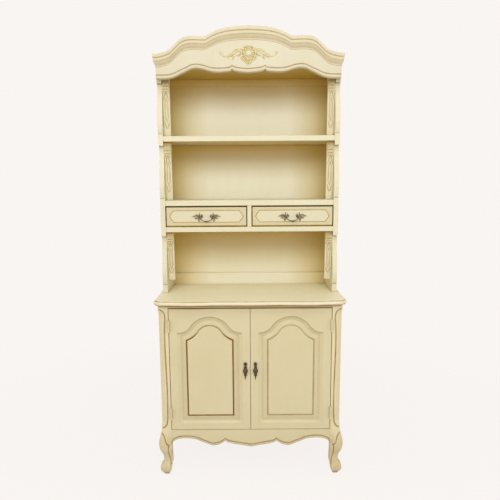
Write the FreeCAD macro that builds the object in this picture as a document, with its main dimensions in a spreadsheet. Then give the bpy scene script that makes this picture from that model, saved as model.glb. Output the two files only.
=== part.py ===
import FreeCAD, Part
import math
import os

# A French provincial hutch cabinet: a two-door base on cabriole legs, an open hutch with
# two small drawers on top of it, and an arched cornice with an applied ornament.
# X runs to the right, the front faces -Y, Z is up, and the origin is on the floor under
# the middle of the base top.

document = FreeCAD.newDocument("hutch_cabinet")
sheet = document.addObject("Spreadsheet::Sheet", "sizes")

# Driving sizes, all in millimetres
DRIVING_SIZES = [
    ("BaseHeight", 834, "floor to the upper face of the base top"),
    ("TopWidth", 860, "base top, tip to tip"),
    ("TopDepth", 474, "base top, front to back"),
    ("TopThick", 24, "base top thickness"),
    ("TopBow", 12, "how far the serpentine front of the base top swings"),
    ("TopCornerCut", 34, "ogee cut across the front corners of the base top"),
    ("TopNose", 8, "how far the moulded nose of the base top is cut under"),
    ("TopQuirk", 6, "width of the small step round the upper face of the base top"),
    ("SideOverhang", 18, "base top beyond the outer faces of the leg posts"),
    ("FrontOverhang", 37, "base top in front of the doors"),
    ("PostWidth", 45, "front leg post, square"),
    ("PostCant", 17, "depth of the stopped cant on the outer corner of a leg post"),
    ("CantRunOut", 26, "length over which the cant runs out at each end"),
    ("LegHeight", 225, "shaped part of the front leg"),
    ("RearLegWidth", 40, "rear leg, square"),
    ("RearLegFoot", 28, "rear leg at the floor"),
    ("RearLegTaper", 190, "height of the tapered part of a rear leg"),
    ("SidePanelThick", 18, "side panel thickness"),
    ("SidePanelInset", 3, "side panel behind the outer face of the posts"),
    ("SidePanelFoot", 165, "floor to the lower corners of a side panel"),
    ("SidePanelArch", 34, "rise of the curve under a side panel"),
    ("BackPanelThick", 6, "thin back panels"),
    ("BackPanelInset", 8, "back panel in front of the rearmost face"),
    ("BottomBoardThick", 18, "cupboard floor"),
    ("ShelfBoardThick", 18, "inner cupboard shelf"),
    ("ShelfSetback", 5, "inner shelf behind the leg posts"),
    ("InnerShelfHeight", 505, "floor to the underside of the inner shelf"),
    ("CleatSize", 15, "cleats under the inner shelf, square"),
    ("RailThick", 14, "front rail under the base top"),
    ("RailDepth", 50, "front rail, front to back"),
    ("FrameThick", 20, "door frames, apron and drawer fronts"),
    ("ApronRise", 84, "apron, from the cupboard floor down to its lowest point"),
    ("ApronBead", 9, "height of the bead along the apron"),
    ("BeadSwell", 4, "how far a bead stands out"),
    ("DoorBottom", 223, "floor to the foot of the doors"),
    ("DoorGap", 2, "gap above, below and between the doors"),
    ("HingeGap", 2.4, "gap between a door and its leg post"),
    ("StileWidth", 42, "door stile"),
    ("BottomRailWidth", 33, "door bottom rail"),
    ("TopRailWidth", 41, "door top rail at the crown of its arch"),
    ("Sticking", 6, "moulded inner edge of a door frame"),
    ("PanelTongue", 8, "panel edge sunk in the frame"),
    ("TongueThick", 6, "thickness of the panel edge"),
    ("TongueBack", 3, "panel edge in front of the back of the frame"),
    ("FieldMargin", 37, "width of the sloping margin round the raised field"),
    ("FieldStep", 2, "small step at the edge of the raised field"),
    ("FieldSetback", 1, "raised field behind the face of the frame"),
    ("HingeHeight", 57, "length of a hinge barrel"),
    ("HingeInset", 50, "hinge in from the foot of a door"),
    ("HingeDrop", 51, "hinge in from the head of a door"),
    ("BarrelRadius", 4.5, "hinge barrel"),
    ("BarrelStandoff", 0.5, "clear space behind a hinge barrel"),
    ("HingePinRadius", 2, "hinge pin"),
    ("TurningFit", 0.05, "radial play of a turning joint"),
    ("EndPlay", 0.3, "play between the two knuckles of a hinge"),
    ("LeafThick", 1, "hinge leaf"),
    ("LeafDepth", 17, "hinge leaf, front to back"),
    ("PullHeight", 90, "door pull"),
    ("PullWidth", 22, "door pull, across its oval body"),
    ("PullOffset", 23, "middle of the cabinet to the middle of a door pull"),
    ("PullDrop", 4, "middle of a door pull below the middle of its door"),
    ("PullPlate", 3, "thickness of the plate of a door pull"),
    ("KnobHeight", 27, "oval knob of a door pull"),
    ("KnobWidth", 18, "oval knob of a door pull"),
    ("KnobReach", 14, "oval knob standing out of the plate of a door pull"),
    ("CatchWidth", 48, "magnetic catch"),
    ("CatchHeight", 13, "magnetic catch"),
    ("CatchDepth", 18, "magnetic catch"),
    ("StrikeWidth", 16, "strike plate"),
    ("StrikeThick", 1.2, "strike plate"),
    ("StrikeGap", 0.3, "play between a strike plate and the catch"),
    ("HutchSideInset", 1.5, "hutch sides behind the outer faces of the leg posts"),
    ("HutchSideThick", 22, "hutch side board"),
    ("HutchSetback", 164, "hutch behind the doors"),
    ("HutchBackInset", 5, "hutch in front of the back of the base top"),
    ("LowerBay", 288, "clear height of the lowest bay"),
    ("LowerDeckThick", 24, "board under the drawers"),
    ("DrawerOpening", 96.5, "clear height of the drawers"),
    ("UpperDeckThick", 25.5, "board over the drawers"),
    ("MiddleBay", 264, "clear height of the middle bay"),
    ("ShelfThick", 24, "hutch shelf"),
    ("UpperBay", 286, "clear height of the highest bay"),
    ("TopBoardThick", 18, "board over the highest bay"),
    ("BoardSetback", 2, "hutch boards behind the blocks of the sides"),
    ("BoardRound", 2.5, "rounded front edges of the hutch boards"),
    ("DividerThick", 19, "upright between the drawers"),
    ("LowerRailHeight", 57, "rail at the foot of the hutch back"),
    ("UpperRailHeight", 30, "rail at the head of the hutch back"),
    ("BackRailThick", 18, "rails in front of the hutch back"),
    ("BlockBelow", 18, "side block reaching below a board"),
    ("BlockAbove", 8, "side block reaching above a board"),
    ("FootBlock", 40, "block at the foot of a hutch side"),
    ("HeadBlock", 12, "block at the head of a hutch side"),
    ("ScrollDepth", 20, "depth of the scrolled front edge of a hutch side"),
    ("CorbelHeight", 230, "corbel"),
    ("CorbelWidth", 32, "corbel"),
    ("CorbelDepth", 32, "corbel at its scroll"),
    ("CorbelTuck", 15, "highest corbels tucked up behind the cornice"),
    ("CorbelSetback", 14, "corbel scroll behind the blocks of the sides"),
    ("CorniceLap", 45, "cornice hanging below the ceiling of the highest bay"),
    ("CorniceForward", 30, "cornice board in front of the hutch"),
    ("CorniceInset", 4.5, "ends of the cornice board behind the outer faces of the hutch sides"),
    ("CorniceThick", 20, "cornice board"),
    ("CorniceEndHeight", 103, "cornice at its ends"),
    ("ScallopRise", 43, "rise of the scalloped edge of the cornice"),
    ("CrownRise", 112, "peak of the crown above its ends"),
    ("CrownHeight", 55, "crown moulding"),
    ("CrownProjection", 12, "crown moulding in front of the cornice board"),
    ("CorniceBead", 15, "height of the bead along the cornice"),
    ("AppliqueWidth", 256, "applied ornament"),
    ("AppliqueHeight", 79, "applied ornament"),
    ("AppliqueRise", 100, "middle of the oval boss above the foot of the cornice"),
    ("AppliqueThick", 5, "applied ornament, scroll arms"),
    ("CartoucheThick", 8, "applied ornament, middle part"),
    ("BossWidth", 32, "oval boss in the middle of the ornament"),
    ("BossHeight", 25, "oval boss in the middle of the ornament"),
    ("BossReach", 5, "oval boss standing out of the middle part"),
    ("DrawerGap", 2.5, "gap round a drawer front"),
    ("RunnerPlay", 0.2, "play under the sides of a drawer"),
    ("DrawerRearGap", 43, "gap between a drawer and the hutch back"),
    ("DrawerSideThick", 12, "drawer side and back"),
    ("DrawerSideDrop", 11, "drawer side below the head of its front"),
    ("DrawerBottomThick", 5, "drawer bottom"),
    ("DrawerBottomRise", 9, "drawer bottom above the foot of a side"),
    ("BailSpan", 64, "distance between the two eyes of a drawer pull"),
    ("BailDrop", 29, "bail below its eyes"),
    ("BailRadius", 2.1, "bail rod"),
    ("BailStandoff", 12, "pivot of the bail in front of the drawer"),
    ("BailLift", 4, "pivot of the bail above the middle of the drawer front"),
    ("EyeRadius", 5, "eye that carries one end of a bail"),
    ("EyeWidth", 9, "eye that carries one end of a bail"),
    ("RosetteReach", 36, "leaf of a rosette outside its eye"),
    ("RosetteRise", 20, "leaf of a rosette above its eye"),
    ("RosetteThick", 2.5, "rosette plate"),
]

# Shapes drawn as shares of the sizes above
# base top front edge: (share of the half width, share of the bow), corner to middle
TOP_FRONT_SHARES = [
    (0.9, 0.02), (0.8, 0.25), (0.72, 0.65), (0.58, 1.0), (0.45, 0.62), (0.32, 0.35), (0.17, 0.55),
    (0.0, 0.7),
]
# base top corner: shares of the corner cut, along and across
TOP_CORNER_SHARES = [(0.0, 0.8), (0.28, 0.58), (0.5, 0.3), (0.75, 0.08)]
# base top nose: (share of the thickness, share of the undercut)
TOP_NOSE_SHARES = [(0.0, 1.0), (0.42, 0.0), (0.82, 0.3)]
# front leg: (share of the height, middle on the diagonal, half width, corner), shares of the post
LEG_SHARES = [
    (1.0, 0.5, 0.5, 0.1),
    (0.8, 0.37, 0.62, 0.3),
    (0.675, 0.33, 0.66, 0.34),
    (0.515, 0.4, 0.59, 0.34),
    (0.35, 0.545, 0.465, 0.27),
    (0.27, 0.53, 0.475, 0.25),
    (0.17, 0.32, 0.56, 0.27),
    (0.06, 0.335, 0.43, 0.2),
    (0.0, 0.37, 0.27, 0.13),
]
# run-out of the cant of a leg post: (share of its depth, share of its length)
CANT_END_SHARES = [(0.0, 0.0), (0.2, 0.3), (0.5, 0.5), (0.82, 0.7), (1.0, 1.0)]
# apron: (share of the half width, share of the rise), leg to cusp and cusp to middle
APRON_OUTER_SHARES = [
    (1.0, 0.14), (0.954, 0.405), (0.877, 0.5), (0.785, 0.506), (0.698, 0.446), (0.621, 0.31),
    (0.545, 0.18), (0.477, 0.1), (0.409, 0.167), (0.365, 0.262), (0.315, 0.4),
]
APRON_MIDDLE_SHARES = [(0.315, 0.4), (0.215, 0.25), (0.15, 0.12), (0.0, 0.0)]
# cornice foot: (share of the half width, share of the rise), end to cusp and cusp to middle
SCALLOP_OUTER_SHARES = [
    (1.0, 0.0), (0.906, 0.0), (0.813, 0.14), (0.746, 0.42), (0.677, 0.7), (0.562, 1.02),
    (0.456, 0.826), (0.394, 0.674), (0.337, 0.628), (0.259, 0.65), (0.185, 0.93),
]
SCALLOP_MIDDLE_SHARES = [(0.185, 0.93), (0.0, 0.57)]
# crown: (share of the half width, share of the rise), end to cusp and cusp to peak
CROWN_OUTER_SHARES = [
    (0.985, 0.0), (0.906, 0.058), (0.828, 0.2), (0.806, 0.277), (0.785, 0.345), (0.64, 0.632),
    (0.461, 0.62),
]
CROWN_MIDDLE_SHARES = [(0.461, 0.62), (0.355, 0.817), (0.219, 0.945), (0.0, 1.0)]
# door arch: shares of half its span, its rise and the hollow curve at each shoulder
ARCH_RISE_SHARE = 0.533
ARCH_SHOULDER_SHARE = 0.5
# bead along a scalloped edge, from the side: (share of the swell, share of the height)
BEAD_SHARES = [(0.0, 0.0), (1.0, 0.4), (0.0, 1.0)]
# crown from the end: (share of the projection, share of the height), bands, grooves and cove
CROWN_SHARES = [
    (0.0, 0.0), (1.0, 0.0), (1.0, 0.3), (0.76, 0.37), (0.72, 0.62), (0.08, 1.0), (0.0, 1.0),
]
# scrolled front of a hutch side: (share down the bay, share of the scroll depth behind the blocks)
BAY_SCROLL_SHARES = [
    (0.0, 1.0), (0.2, 0.92), (0.42, 0.4), (0.6, -0.1), (0.77, -0.35), (0.9, -0.15), (1.0, 0.25),
]
# corbel from the side: (share down, share of the depth), scroll head then fluted shaft and leaf
CORBEL_SCROLL_SHARES = [(0.07, 0.86), (0.16, 1.02), (0.25, 0.7)]
CORBEL_SHAFT_SHARES = [(0.25, 0.7), (0.3, 0.6), (0.7, 0.45), (0.73, 0.54), (0.77, 0.54), (0.8, 0.44)]
CORBEL_DROP_SHARES = [(0.8, 0.44), (0.9, 0.4), (1.0, 0.08)]
# corbel from the front: (share down, share of the half width)
CORBEL_TAPER_SHARES = [
    (0.26, 1.0), (0.3, 0.82), (0.7, 0.62), (0.74, 0.78), (0.8, 0.6), (0.88, 0.66), (1.0, 0.06),
]
# door pull: (share up from the middle, share of the half width), tail, oval body and finial
PULL_TAIL_SHARES = [
    (-0.5, 0.0), (-0.44, 0.18), (-0.38, 0.26), (-0.32, 0.2), (-0.27, 0.6), (-0.22, 0.6), (-0.17, 0.4),
]
PULL_BODY_SHARES = [(-0.17, 0.4), (0.0, 1.0), (0.17, 0.4)]
PULL_HEAD_SHARES = [
    (0.17, 0.4), (0.24, 0.2), (0.3, 0.26), (0.36, 0.7), (0.41, 0.74), (0.45, 0.3), (0.5, 0.0),
]
# rosette from its inner leaf round over the top: shares of its reach and of its rise
ROSETTE_SHARES = [
    (-0.38, 0.55), (-0.22, 0.62), (-0.12, 0.5), (-0.04, 0.8), (0.06, 1.0), (0.16, 0.7), (0.24, 0.34),
    (0.55, 0.3), (0.82, 0.06), (1.0, -0.25), (0.7, -0.28), (0.3, -0.36), (0.14, -0.5), (0.03, -0.78),
    (-0.1, -0.45), (-0.2, -0.1), (-0.18, 0.15), (-0.26, 0.3),
]
# applied ornament: scroll arm and cartouche, shares of the half width and of the height
ARM_SHARES = [
    (0.1, 0.06), (0.25, 0.17), (0.42, 0.24), (0.56, 0.1), (0.7, -0.06), (0.83, -0.06),
    (0.9, 0.1), (0.95, 0.14), (1.0, 0.05), (0.95, -0.14), (0.87, -0.2), (0.78, -0.22),
    (0.6, -0.12), (0.48, 0.04), (0.36, 0.08), (0.22, -0.02), (0.1, -0.14),
]
CARTOUCHE_SHARES = [
    (0.0, 0.48), (0.08, 0.4), (0.12, 0.3), (0.155, 0.17), (0.17, 0.0), (0.155, -0.16), (0.1, -0.3),
    (0.06, -0.42), (0.0, -0.52),
]

# How many straight steps stand for small round shapes
BAIL_STEPS = 12
BAIL_SIDES = 8
CORNER_STEPS = 2
OVAL_SIDES = 12
BARREL_SIDES = 10


class Size:
    """A length that knows its value and the sheet expression it comes from."""

    def __init__(self, expression, value):
        self.expression = expression
        self.value = value

    def joined(self, sign, other, result):
        text = other.expression if isinstance(other, Size) else repr(other)
        return Size("(" + self.expression + " " + sign + " " + text + ")", result)

    def __add__(self, other):
        return self.joined("+", other, self.value + float(other))

    def __sub__(self, other):
        return self.joined("-", other, self.value - float(other))

    def __mul__(self, share):
        return self.joined("*", share, self.value * float(share))

    def __truediv__(self, share):
        return self.joined("/", share, self.value / float(share))

    def __neg__(self):
        return self * -1

    def __float__(self):
        return float(self.value)


class Sizes:
    """The named sizes of the sheet as attributes."""


def fill_sheet():
    """Write every driving size into the sheet and give it its name."""
    named = Sizes()
    for row, (alias, value, meaning) in enumerate(DRIVING_SIZES, start=1):
        cell = "B" + str(row)
        sheet.set("A" + str(row), meaning)
        sheet.set(cell, str(value))
        sheet.setAlias(cell, alias)
        setattr(named, alias, Size("sizes." + alias, float(value)))
    document.recompute()
    return named


size = fill_sheet()

# Places that follow from the driving sizes
zero = size.TopWidth * 0
top_half = size.TopWidth / 2
back = size.TopDepth / 2
face = size.FrontOverhang - back
case_half = top_half - size.SideOverhang
post_in = case_half - size.PostWidth
post_rear = face + size.PostWidth
top_under = size.BaseHeight - size.TopThick
rear_leg_in = case_half - size.RearLegWidth
rear_leg_front = back - size.RearLegWidth
side_panel_out = case_half - size.SidePanelInset
side_panel_in = side_panel_out - size.SidePanelThick
back_panel_back = back - size.BackPanelInset
back_panel_front = back_panel_back - size.BackPanelThick
floor_top = size.DoorBottom - size.DoorGap
floor_under = floor_top - size.BottomBoardThick
rail_under = top_under - size.RailThick
door_top = rail_under - size.DoorGap
door_outer = post_in - size.HingeGap
door_inner = size.DoorGap / 2
door_half = (door_outer - door_inner) / 2
door_centre = (door_outer + door_inner) / 2
pull_middle = (size.DoorBottom + door_top) / 2 - size.PullDrop
frame_back = face + size.FrameThick
hutch_half = case_half - size.HutchSideInset
hutch_in = hutch_half - size.HutchSideThick
hutch_front = face + size.HutchSetback
hutch_back = back - size.HutchBackInset
hutch_inner_back = hutch_back - size.BackPanelThick * 1.5
board_front = hutch_front + size.BoardSetback
lower_deck_under = size.BaseHeight + size.LowerBay
lower_deck_top = lower_deck_under + size.LowerDeckThick
upper_deck_under = lower_deck_top + size.DrawerOpening
upper_deck_top = upper_deck_under + size.UpperDeckThick
shelf_under = upper_deck_top + size.MiddleBay
shelf_top = shelf_under + size.ShelfThick
ceiling = shelf_top + size.UpperBay
cornice_foot = ceiling - size.CorniceLap
cornice_half = hutch_half - size.CorniceInset
cornice_face = hutch_front - size.CorniceForward
cornice_back = cornice_face + size.CorniceThick
crown_corner = cornice_foot + size.CorniceEndHeight
applique_middle = cornice_foot + size.AppliqueRise

pieces = {}


def keep(label, feature):
    """Name a finished piece and put it on the list of pieces to export."""
    feature.Label = label
    pieces[label] = feature
    return feature


def bind(feature, slot, length):
    """Tie one property of a feature to the sheet."""
    feature.setExpression(slot, length.expression)


def vector(across, up):
    """A point of a flat drawing."""
    return FreeCAD.Vector(float(across), float(up), 0)


def line(start, end):
    """A straight edge of a drawing."""
    return Part.LineSegment(vector(*start), vector(*end))


def arc(start, middle, end):
    """A round edge through three points of a drawing."""
    return Part.Arc(vector(*start), vector(*middle), vector(*end))


def arcs(points):
    """Round edges in a row, each through its own three points."""
    return [arc(*points[place:place + 3]) for place in range(0, len(points) - 2, 2)]


def lines(points):
    """Straight edges from point to point."""
    return [line(start, end) for start, end in zip(points, points[1:])]


def closed(points):
    """Straight edges round a closed outline."""
    return lines(list(points) + [points[0]])


def polygon(sides, middle, half_across, half_up):
    """Closed outline of equal steps round a circle or an oval."""
    across, up = middle
    turns = [2 * math.pi * side / sides for side in range(sides)]
    return closed([
        (float(across) + float(half_across) * math.cos(turn), float(up) + float(half_up) * math.sin(turn))
        for turn in turns
    ])


def scaled(shares, across, up, up_from):
    """Turn (share across, share up) pairs into places."""
    return [(float(across) * first, float(up_from) + float(up) * second) for first, second in shares]


def other_side(points):
    """The same points mirrored to the left and in reverse order."""
    return [(-x, z) for x, z in reversed(points)]


def both_sides(points):
    """Points from the right end to the middle, carried on to the left end."""
    return points + other_side(points)[1:]


def new_body(label):
    """An empty body with its name."""
    body = document.addObject("PartDesign::Body", label)
    return body


def origin_plane(body, role):
    """One of the three origin planes of a body."""
    for feature in body.Origin.OriginFeatures:
        if feature.Role == role:
            return feature
    raise RuntimeError("no plane " + role)


def sketch_on(body, role, edges, offset=zero):
    """Draw edges on an origin plane of a body, moved along its normal."""
    sketch = body.newObject("Sketcher::SketchObject", body.Name + "_drawing")
    sketch.AttachmentSupport = [(origin_plane(body, role), "")]
    sketch.MapMode = "FlatFace"
    bind(sketch, "AttachmentOffset.Base.z", offset)
    for edge in edges:
        sketch.addGeometry(edge, False)
    return sketch


def pad(body, sketch, length, backwards=False):
    """Grow a drawing into a solid part of its body."""
    feature = body.newObject("PartDesign::Pad", body.Name + "_pad")
    feature.Profile = sketch
    bind(feature, "Length", length)
    feature.Reversed = backwards
    return feature


def pad_from_front(body, edges, front, thickness):
    """Grow a drawing seen from the front, from its front face backwards."""
    return pad(body, sketch_on(body, "XZ_Plane", edges, -front), thickness, backwards=True)


def cut_through(body, sketch):
    """Take a drawing out of a body all the way through, both ways."""
    feature = body.newObject("PartDesign::Pocket", body.Name + "_pocket")
    feature.Profile = sketch
    feature.Type = "ThroughAll"
    feature.Midplane = True
    return feature


def loft(body, sketches):
    """Join drawings of equal edge count into one solid with straight sides."""
    feature = body.newObject("PartDesign::AdditiveLoft", body.Name + "_loft")
    feature.Profile = sketches[0]
    feature.Sections = sketches[1:]
    feature.Ruled = True
    return feature


def sweep_fixed(body, profile, path):
    """Carry a profile along a path without turning it."""
    feature = body.newObject("PartDesign::AdditivePipe", body.Name + "_sweep")
    feature.Profile = profile
    feature.Spine = path
    feature.Mode = "Fixed"
    return feature


def board(label, x, y, z):
    """A straight board from its three (low, high) pairs."""
    box = document.addObject("Part::Box", label)
    for side, axis, (low, high) in (("Length", "x", x), ("Width", "y", y), ("Height", "z", z)):
        bind(box, side, high - low)
        bind(box, "Placement.Base." + axis, low)
    return box


def rounded_board(label, x, y, z):
    """A shelf board with softly rounded front edges."""
    body = new_body(label)
    low, high = x
    outline = closed([(low, z[0]), (high, z[0]), (high, z[1]), (low, z[1])])
    block = pad_from_front(body, outline, y[0], y[1] - y[0])
    document.recompute()
    names = edges_where(block.Shape, lambda edge: is_long_front_edge(edge, float(y[0]), float(high - low)))
    feature = body.newObject("PartDesign::Fillet", label + "_round")
    feature.Base = (block, names)
    bind(feature, "Radius", size.BoardRound)
    return body


def edges_where(shape, wanted):
    """Names of the edges of a shape that pass a test."""
    return ["Edge" + str(place) for place, edge in enumerate(shape.Edges, start=1) if wanted(edge)]


def lies_in_front(edge, front, scale):
    """Whether an edge lies in a plane that faces the front."""
    return all(abs(corner.Y - front) < scale / 1e6 for corner in edge.Vertexes)


def is_long_front_edge(edge, front, length):
    """Whether an edge runs along the front face for the full width."""
    return lies_in_front(edge, front, length) and abs(edge.Length - length) < length / 1e6


def upright(label, middle, radius, foot, length):
    """An upright round bar in a few flat sides."""
    body = new_body(label)
    pad(body, sketch_on(body, "XY_Plane", polygon(BARREL_SIDES, middle, radius, radius), foot), length)
    return body


def fused(label, parts):
    """One solid out of several that overlap."""
    union = document.addObject("Part::MultiFuse", label)
    union.Shapes = parts
    return union


def without(label, base, tool):
    """A solid with another one taken out of it."""
    cut = document.addObject("Part::Cut", label)
    cut.Base = base
    cut.Tool = tool
    return cut


def group(label, parts):
    """Separate solids that share one node."""
    compound = document.addObject("Part::Compound", label)
    compound.Links = parts
    return compound


def mirrored(label, source):
    """The same piece on the other side of the cabinet."""
    twin = document.addObject("Part::Mirroring", label)
    twin.Source = source
    twin.Normal = FreeCAD.Vector(1, 0, 0)
    return twin


def keep_pair(left_label, right_label, left):
    """Keep a piece of the left side and its twin on the right."""
    keep(left_label, left)
    keep(right_label, mirrored(right_label, left))


# Base top
def top_outline(inset):
    """Outline of the base top drawn in by an inset on the front and sides."""
    half = float(top_half) - float(inset)
    bow = float(size.TopBow)
    cut = float(size.TopCornerCut)
    foremost = -float(back) + float(inset)
    corner = [(half - cut * along, foremost + bow + cut * over) for along, over in TOP_CORNER_SHARES]
    front = [(half * across, foremost + bow * (1 - out)) for across, out in TOP_FRONT_SHARES]
    edge = arcs(both_sides(corner + front))
    tip_x, tip_y = corner[0]
    rear = float(back)
    return edge + lines([(-tip_x, tip_y), (-half, rear), (half, rear), (tip_x, tip_y)])


def build_base_top():
    """Serpentine base top with a rounded nose and a small step round its upper face."""
    body = new_body("base_top")
    levels = [top_under + size.TopThick * share for share, under in TOP_NOSE_SHARES]
    insets = [size.TopNose * under for share, under in TOP_NOSE_SHARES]
    sections = []
    for inset, level in zip(insets, levels):
        sections.append(sketch_on(body, "XY_Plane", top_outline(inset), level))
    loft(body, sections)
    step = sketch_on(body, "XY_Plane", top_outline(size.TopQuirk), levels[-1])
    pad(body, step, size.BaseHeight - levels[-1])
    keep("base_top", body)


# Front leg posts with cabriole legs
def rounded_square(middle, half, corner):
    """A square with round corners whose middle is on the diagonal of the leg post."""
    points = []
    for side in range(4):
        start = side * math.pi / 2
        for step in range(CORNER_STEPS + 1):
            turn = start + step * math.pi / 2 / CORNER_STEPS
            side_x = math.copysign(half - corner, math.cos(start + math.pi / 4))
            side_y = math.copysign(half - corner, math.sin(start + math.pi / 4))
            out_x = side_x + corner * math.cos(turn)
            out_y = side_y + corner * math.sin(turn)
            points.append((middle + out_x, middle + out_y))
    return closed(points)


def cant_outline():
    """What the stopped cant takes off the corner, seen square to the diagonal."""
    run = float(size.CantRunOut)
    deep = float(size.PostCant)
    clear = -float(size.PostWidth)
    low = float(size.LegHeight) + run * 0.3
    high = float(top_under) - run * 0.6
    foot = [(deep * across, low + run * up) for across, up in CANT_END_SHARES]
    head = [(across, high + low - up) for across, up in reversed(foot)]
    outer = lines([head[-1], (clear, high), (clear, low), foot[0]])
    return arcs(foot) + [line(foot[-1], head[0])] + arcs(head) + outer


def build_front_legs():
    """Leg posts drawn from their outer front corner, on the left and mirrored."""
    body = new_body("front_leg_left")
    bind(body, "Placement.Base.x", -case_half)
    bind(body, "Placement.Base.y", face)
    width = float(size.PostWidth)
    square = closed([(0, 0), (width, 0), (width, width), (0, width)])
    pad(body, sketch_on(body, "XY_Plane", square, size.LegHeight), top_under - size.LegHeight)
    cant = sketch_on(body, "XZ_Plane", cant_outline())
    turned = FreeCAD.Rotation(FreeCAD.Vector(0, 1, 0), 45)
    cant.AttachmentOffset = FreeCAD.Placement(FreeCAD.Vector(), turned)
    cut_through(body, cant)
    sections = []
    for level, middle, half, corner in LEG_SHARES:
        outline = rounded_square(width * middle, width * half, width * corner)
        sections.append(sketch_on(body, "XY_Plane", outline, size.LegHeight * level))
    loft(body, sections)
    keep_pair("front_leg_left", "front_leg_right", body)


# Rear legs
def build_rear_legs():
    """Plain square rear legs, tapered towards the floor on their inner faces."""
    body = new_body("rear_leg_left")
    wide = float(size.RearLegWidth)
    foot = float(size.RearLegFoot)
    left = -float(case_half)
    rear = float(back)
    taper = size.RearLegTaper
    at_floor = closed([(left, rear), (left, rear - foot), (left + foot, rear - foot), (left + foot, rear)])
    full = closed([(left, rear), (left, rear - wide), (left + wide, rear - wide), (left + wide, rear)])
    loft(body, [sketch_on(body, "XY_Plane", at_floor), sketch_on(body, "XY_Plane", full, taper)])
    pad(body, sketch_on(body, "XY_Plane", full, taper), top_under - taper)
    keep("rear_legs", group("rear_legs", [body, mirrored("rear_leg_right", body)]))


# Base case boards
def build_side_panels():
    """Side panels with a low curve under them."""
    body = new_body("base_side_left")
    low = float(size.SidePanelFoot)
    front = float(post_rear)
    rear = float(rear_leg_front)
    outline = [
        arc((front, low), ((front + rear) / 2, low + float(size.SidePanelArch)), (rear, low)),
        line((rear, low), (rear, top_under)),
        line((rear, top_under), (front, top_under)),
        line((front, top_under), (front, low)),
    ]
    pad(body, sketch_on(body, "YZ_Plane", outline, -side_panel_out), size.SidePanelThick)
    keep_pair("base_side_left", "base_side_right", body)


def build_shelf_cleats():
    """Square cleats on the side panels that carry the inner shelf."""
    x = (-side_panel_in, -side_panel_in + size.CleatSize)
    y = (post_rear + size.ShelfSetback, rear_leg_front - size.ShelfSetback)
    z = (size.InnerShelfHeight - size.CleatSize, size.InnerShelfHeight)
    left = board("shelf_cleat_left", x, y, z)
    keep("shelf_cleats", group("shelf_cleats", [left, mirrored("shelf_cleat_right", left)]))


def build_cupboard_floor():
    """Cupboard floor notched round the four legs."""
    wide = side_panel_in
    outline = [
        (-post_in, frame_back), (post_in, frame_back), (post_in, post_rear), (wide, post_rear),
        (wide, rear_leg_front), (rear_leg_in, rear_leg_front), (rear_leg_in, back_panel_front),
        (-rear_leg_in, back_panel_front), (-rear_leg_in, rear_leg_front), (-wide, rear_leg_front),
        (-wide, post_rear), (-post_in, post_rear),
    ]
    body = new_body("base_bottom")
    pad(body, sketch_on(body, "XY_Plane", closed(outline), floor_under), size.BottomBoardThick)
    keep("base_bottom", body)


def build_base_boards():
    """Straight boards of the base: shelf, rails and back panel."""
    shelf_y = (post_rear + size.ShelfSetback, rear_leg_front - size.ShelfSetback)
    shelf_z = (size.InnerShelfHeight, size.InnerShelfHeight + size.ShelfBoardThick)
    keep("base_shelf", board("base_shelf", (-side_panel_in, side_panel_in), shelf_y, shelf_z))
    rail_y = (face, face + size.RailDepth)
    keep("base_front_rail", board("base_front_rail", (-post_in, post_in), rail_y, (rail_under, top_under)))
    back_y = (back_panel_front, back_panel_back)
    back_x = (-rear_leg_in, rear_leg_in)
    keep("base_back_panel", board("base_back_panel", back_x, back_y, (floor_under, top_under)))


def scallop(outer_shares, middle_shares, half, rise, foot):
    """Edges of a scalloped edge from its right end to its left end."""
    right = scaled(outer_shares, half, rise, foot)
    centre = both_sides(scaled(middle_shares, half, rise, foot))
    return arcs(right) + arcs(centre) + arcs(other_side(right))


def bead_profile(front, low, height):
    """Bead standing out of a face, drawn from the side."""
    front, low, height = float(front), float(low), float(height)
    swell = float(size.BeadSwell)
    return closed([(front - swell * out, low + height * up) for out, up in BEAD_SHARES])


def build_apron():
    """Scalloped apron with a bead along its lower edge."""
    body = new_body("front_apron")
    foot = size.DoorBottom - size.DoorGap - size.ApronRise
    rise = size.ApronRise
    lower = scallop(APRON_OUTER_SHARES, APRON_MIDDLE_SHARES, post_in, rise, foot)
    end = float(foot) + float(rise) * APRON_OUTER_SHARES[0][1]
    wide = float(post_in)
    high = float(floor_top)
    sides = lines([(-wide, end), (-wide, high), (wide, high), (wide, end)])
    pad_from_front(body, lower + sides, face, size.FrameThick)
    path = sketch_on(body, "XZ_Plane", lower, -face)
    profile = sketch_on(body, "YZ_Plane", bead_profile(face, end, size.ApronBead), post_in)
    sweep_fixed(body, profile, path)
    keep("front_apron", body)


# Arched raised-panel doors
def arched_outline(grow):
    """Door opening with its S-curved arch, grown or drawn in all round, about the door middle.

    Each shoulder is a hollow curve about a point above it, and the crown one round curve
    about a point below; the two meet smoothly, so growing the outline changes only radii.
    """
    half = float(door_half - size.StileWidth)
    apex = float(door_top - size.TopRailWidth)
    rise = half * ARCH_RISE_SHARE
    hollow = half * ARCH_SHOULDER_SHARE
    crown = (half * half + rise * rise) / (2 * rise) - hollow
    more = float(grow)
    side = half + more
    hollow_centre = vector(half, apex - rise + hollow)
    crown_centre = vector(0, apex - crown)
    turn = crown_centre + (hollow_centre - crown_centre) * ((crown + more) / (crown + hollow))
    radius = hollow - more
    start = vector(side, hollow_centre.y - math.sqrt(radius * radius - more * more))
    between = (start + turn) * 0.5 - hollow_centre
    bend = hollow_centre + between * (radius / between.Length)
    foot = float(size.DoorBottom + size.BottomRailWidth) - more
    right = [(start.x, start.y), (bend.x, bend.y), (turn.x, turn.y)]
    left = other_side(right)
    return {
        "arch": [arc(*right), arc(right[2], (0, apex + more), left[0]), arc(*left)],
        "rest": lines([left[2], (-side, foot), (side, foot), right[0]]),
    }


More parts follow.
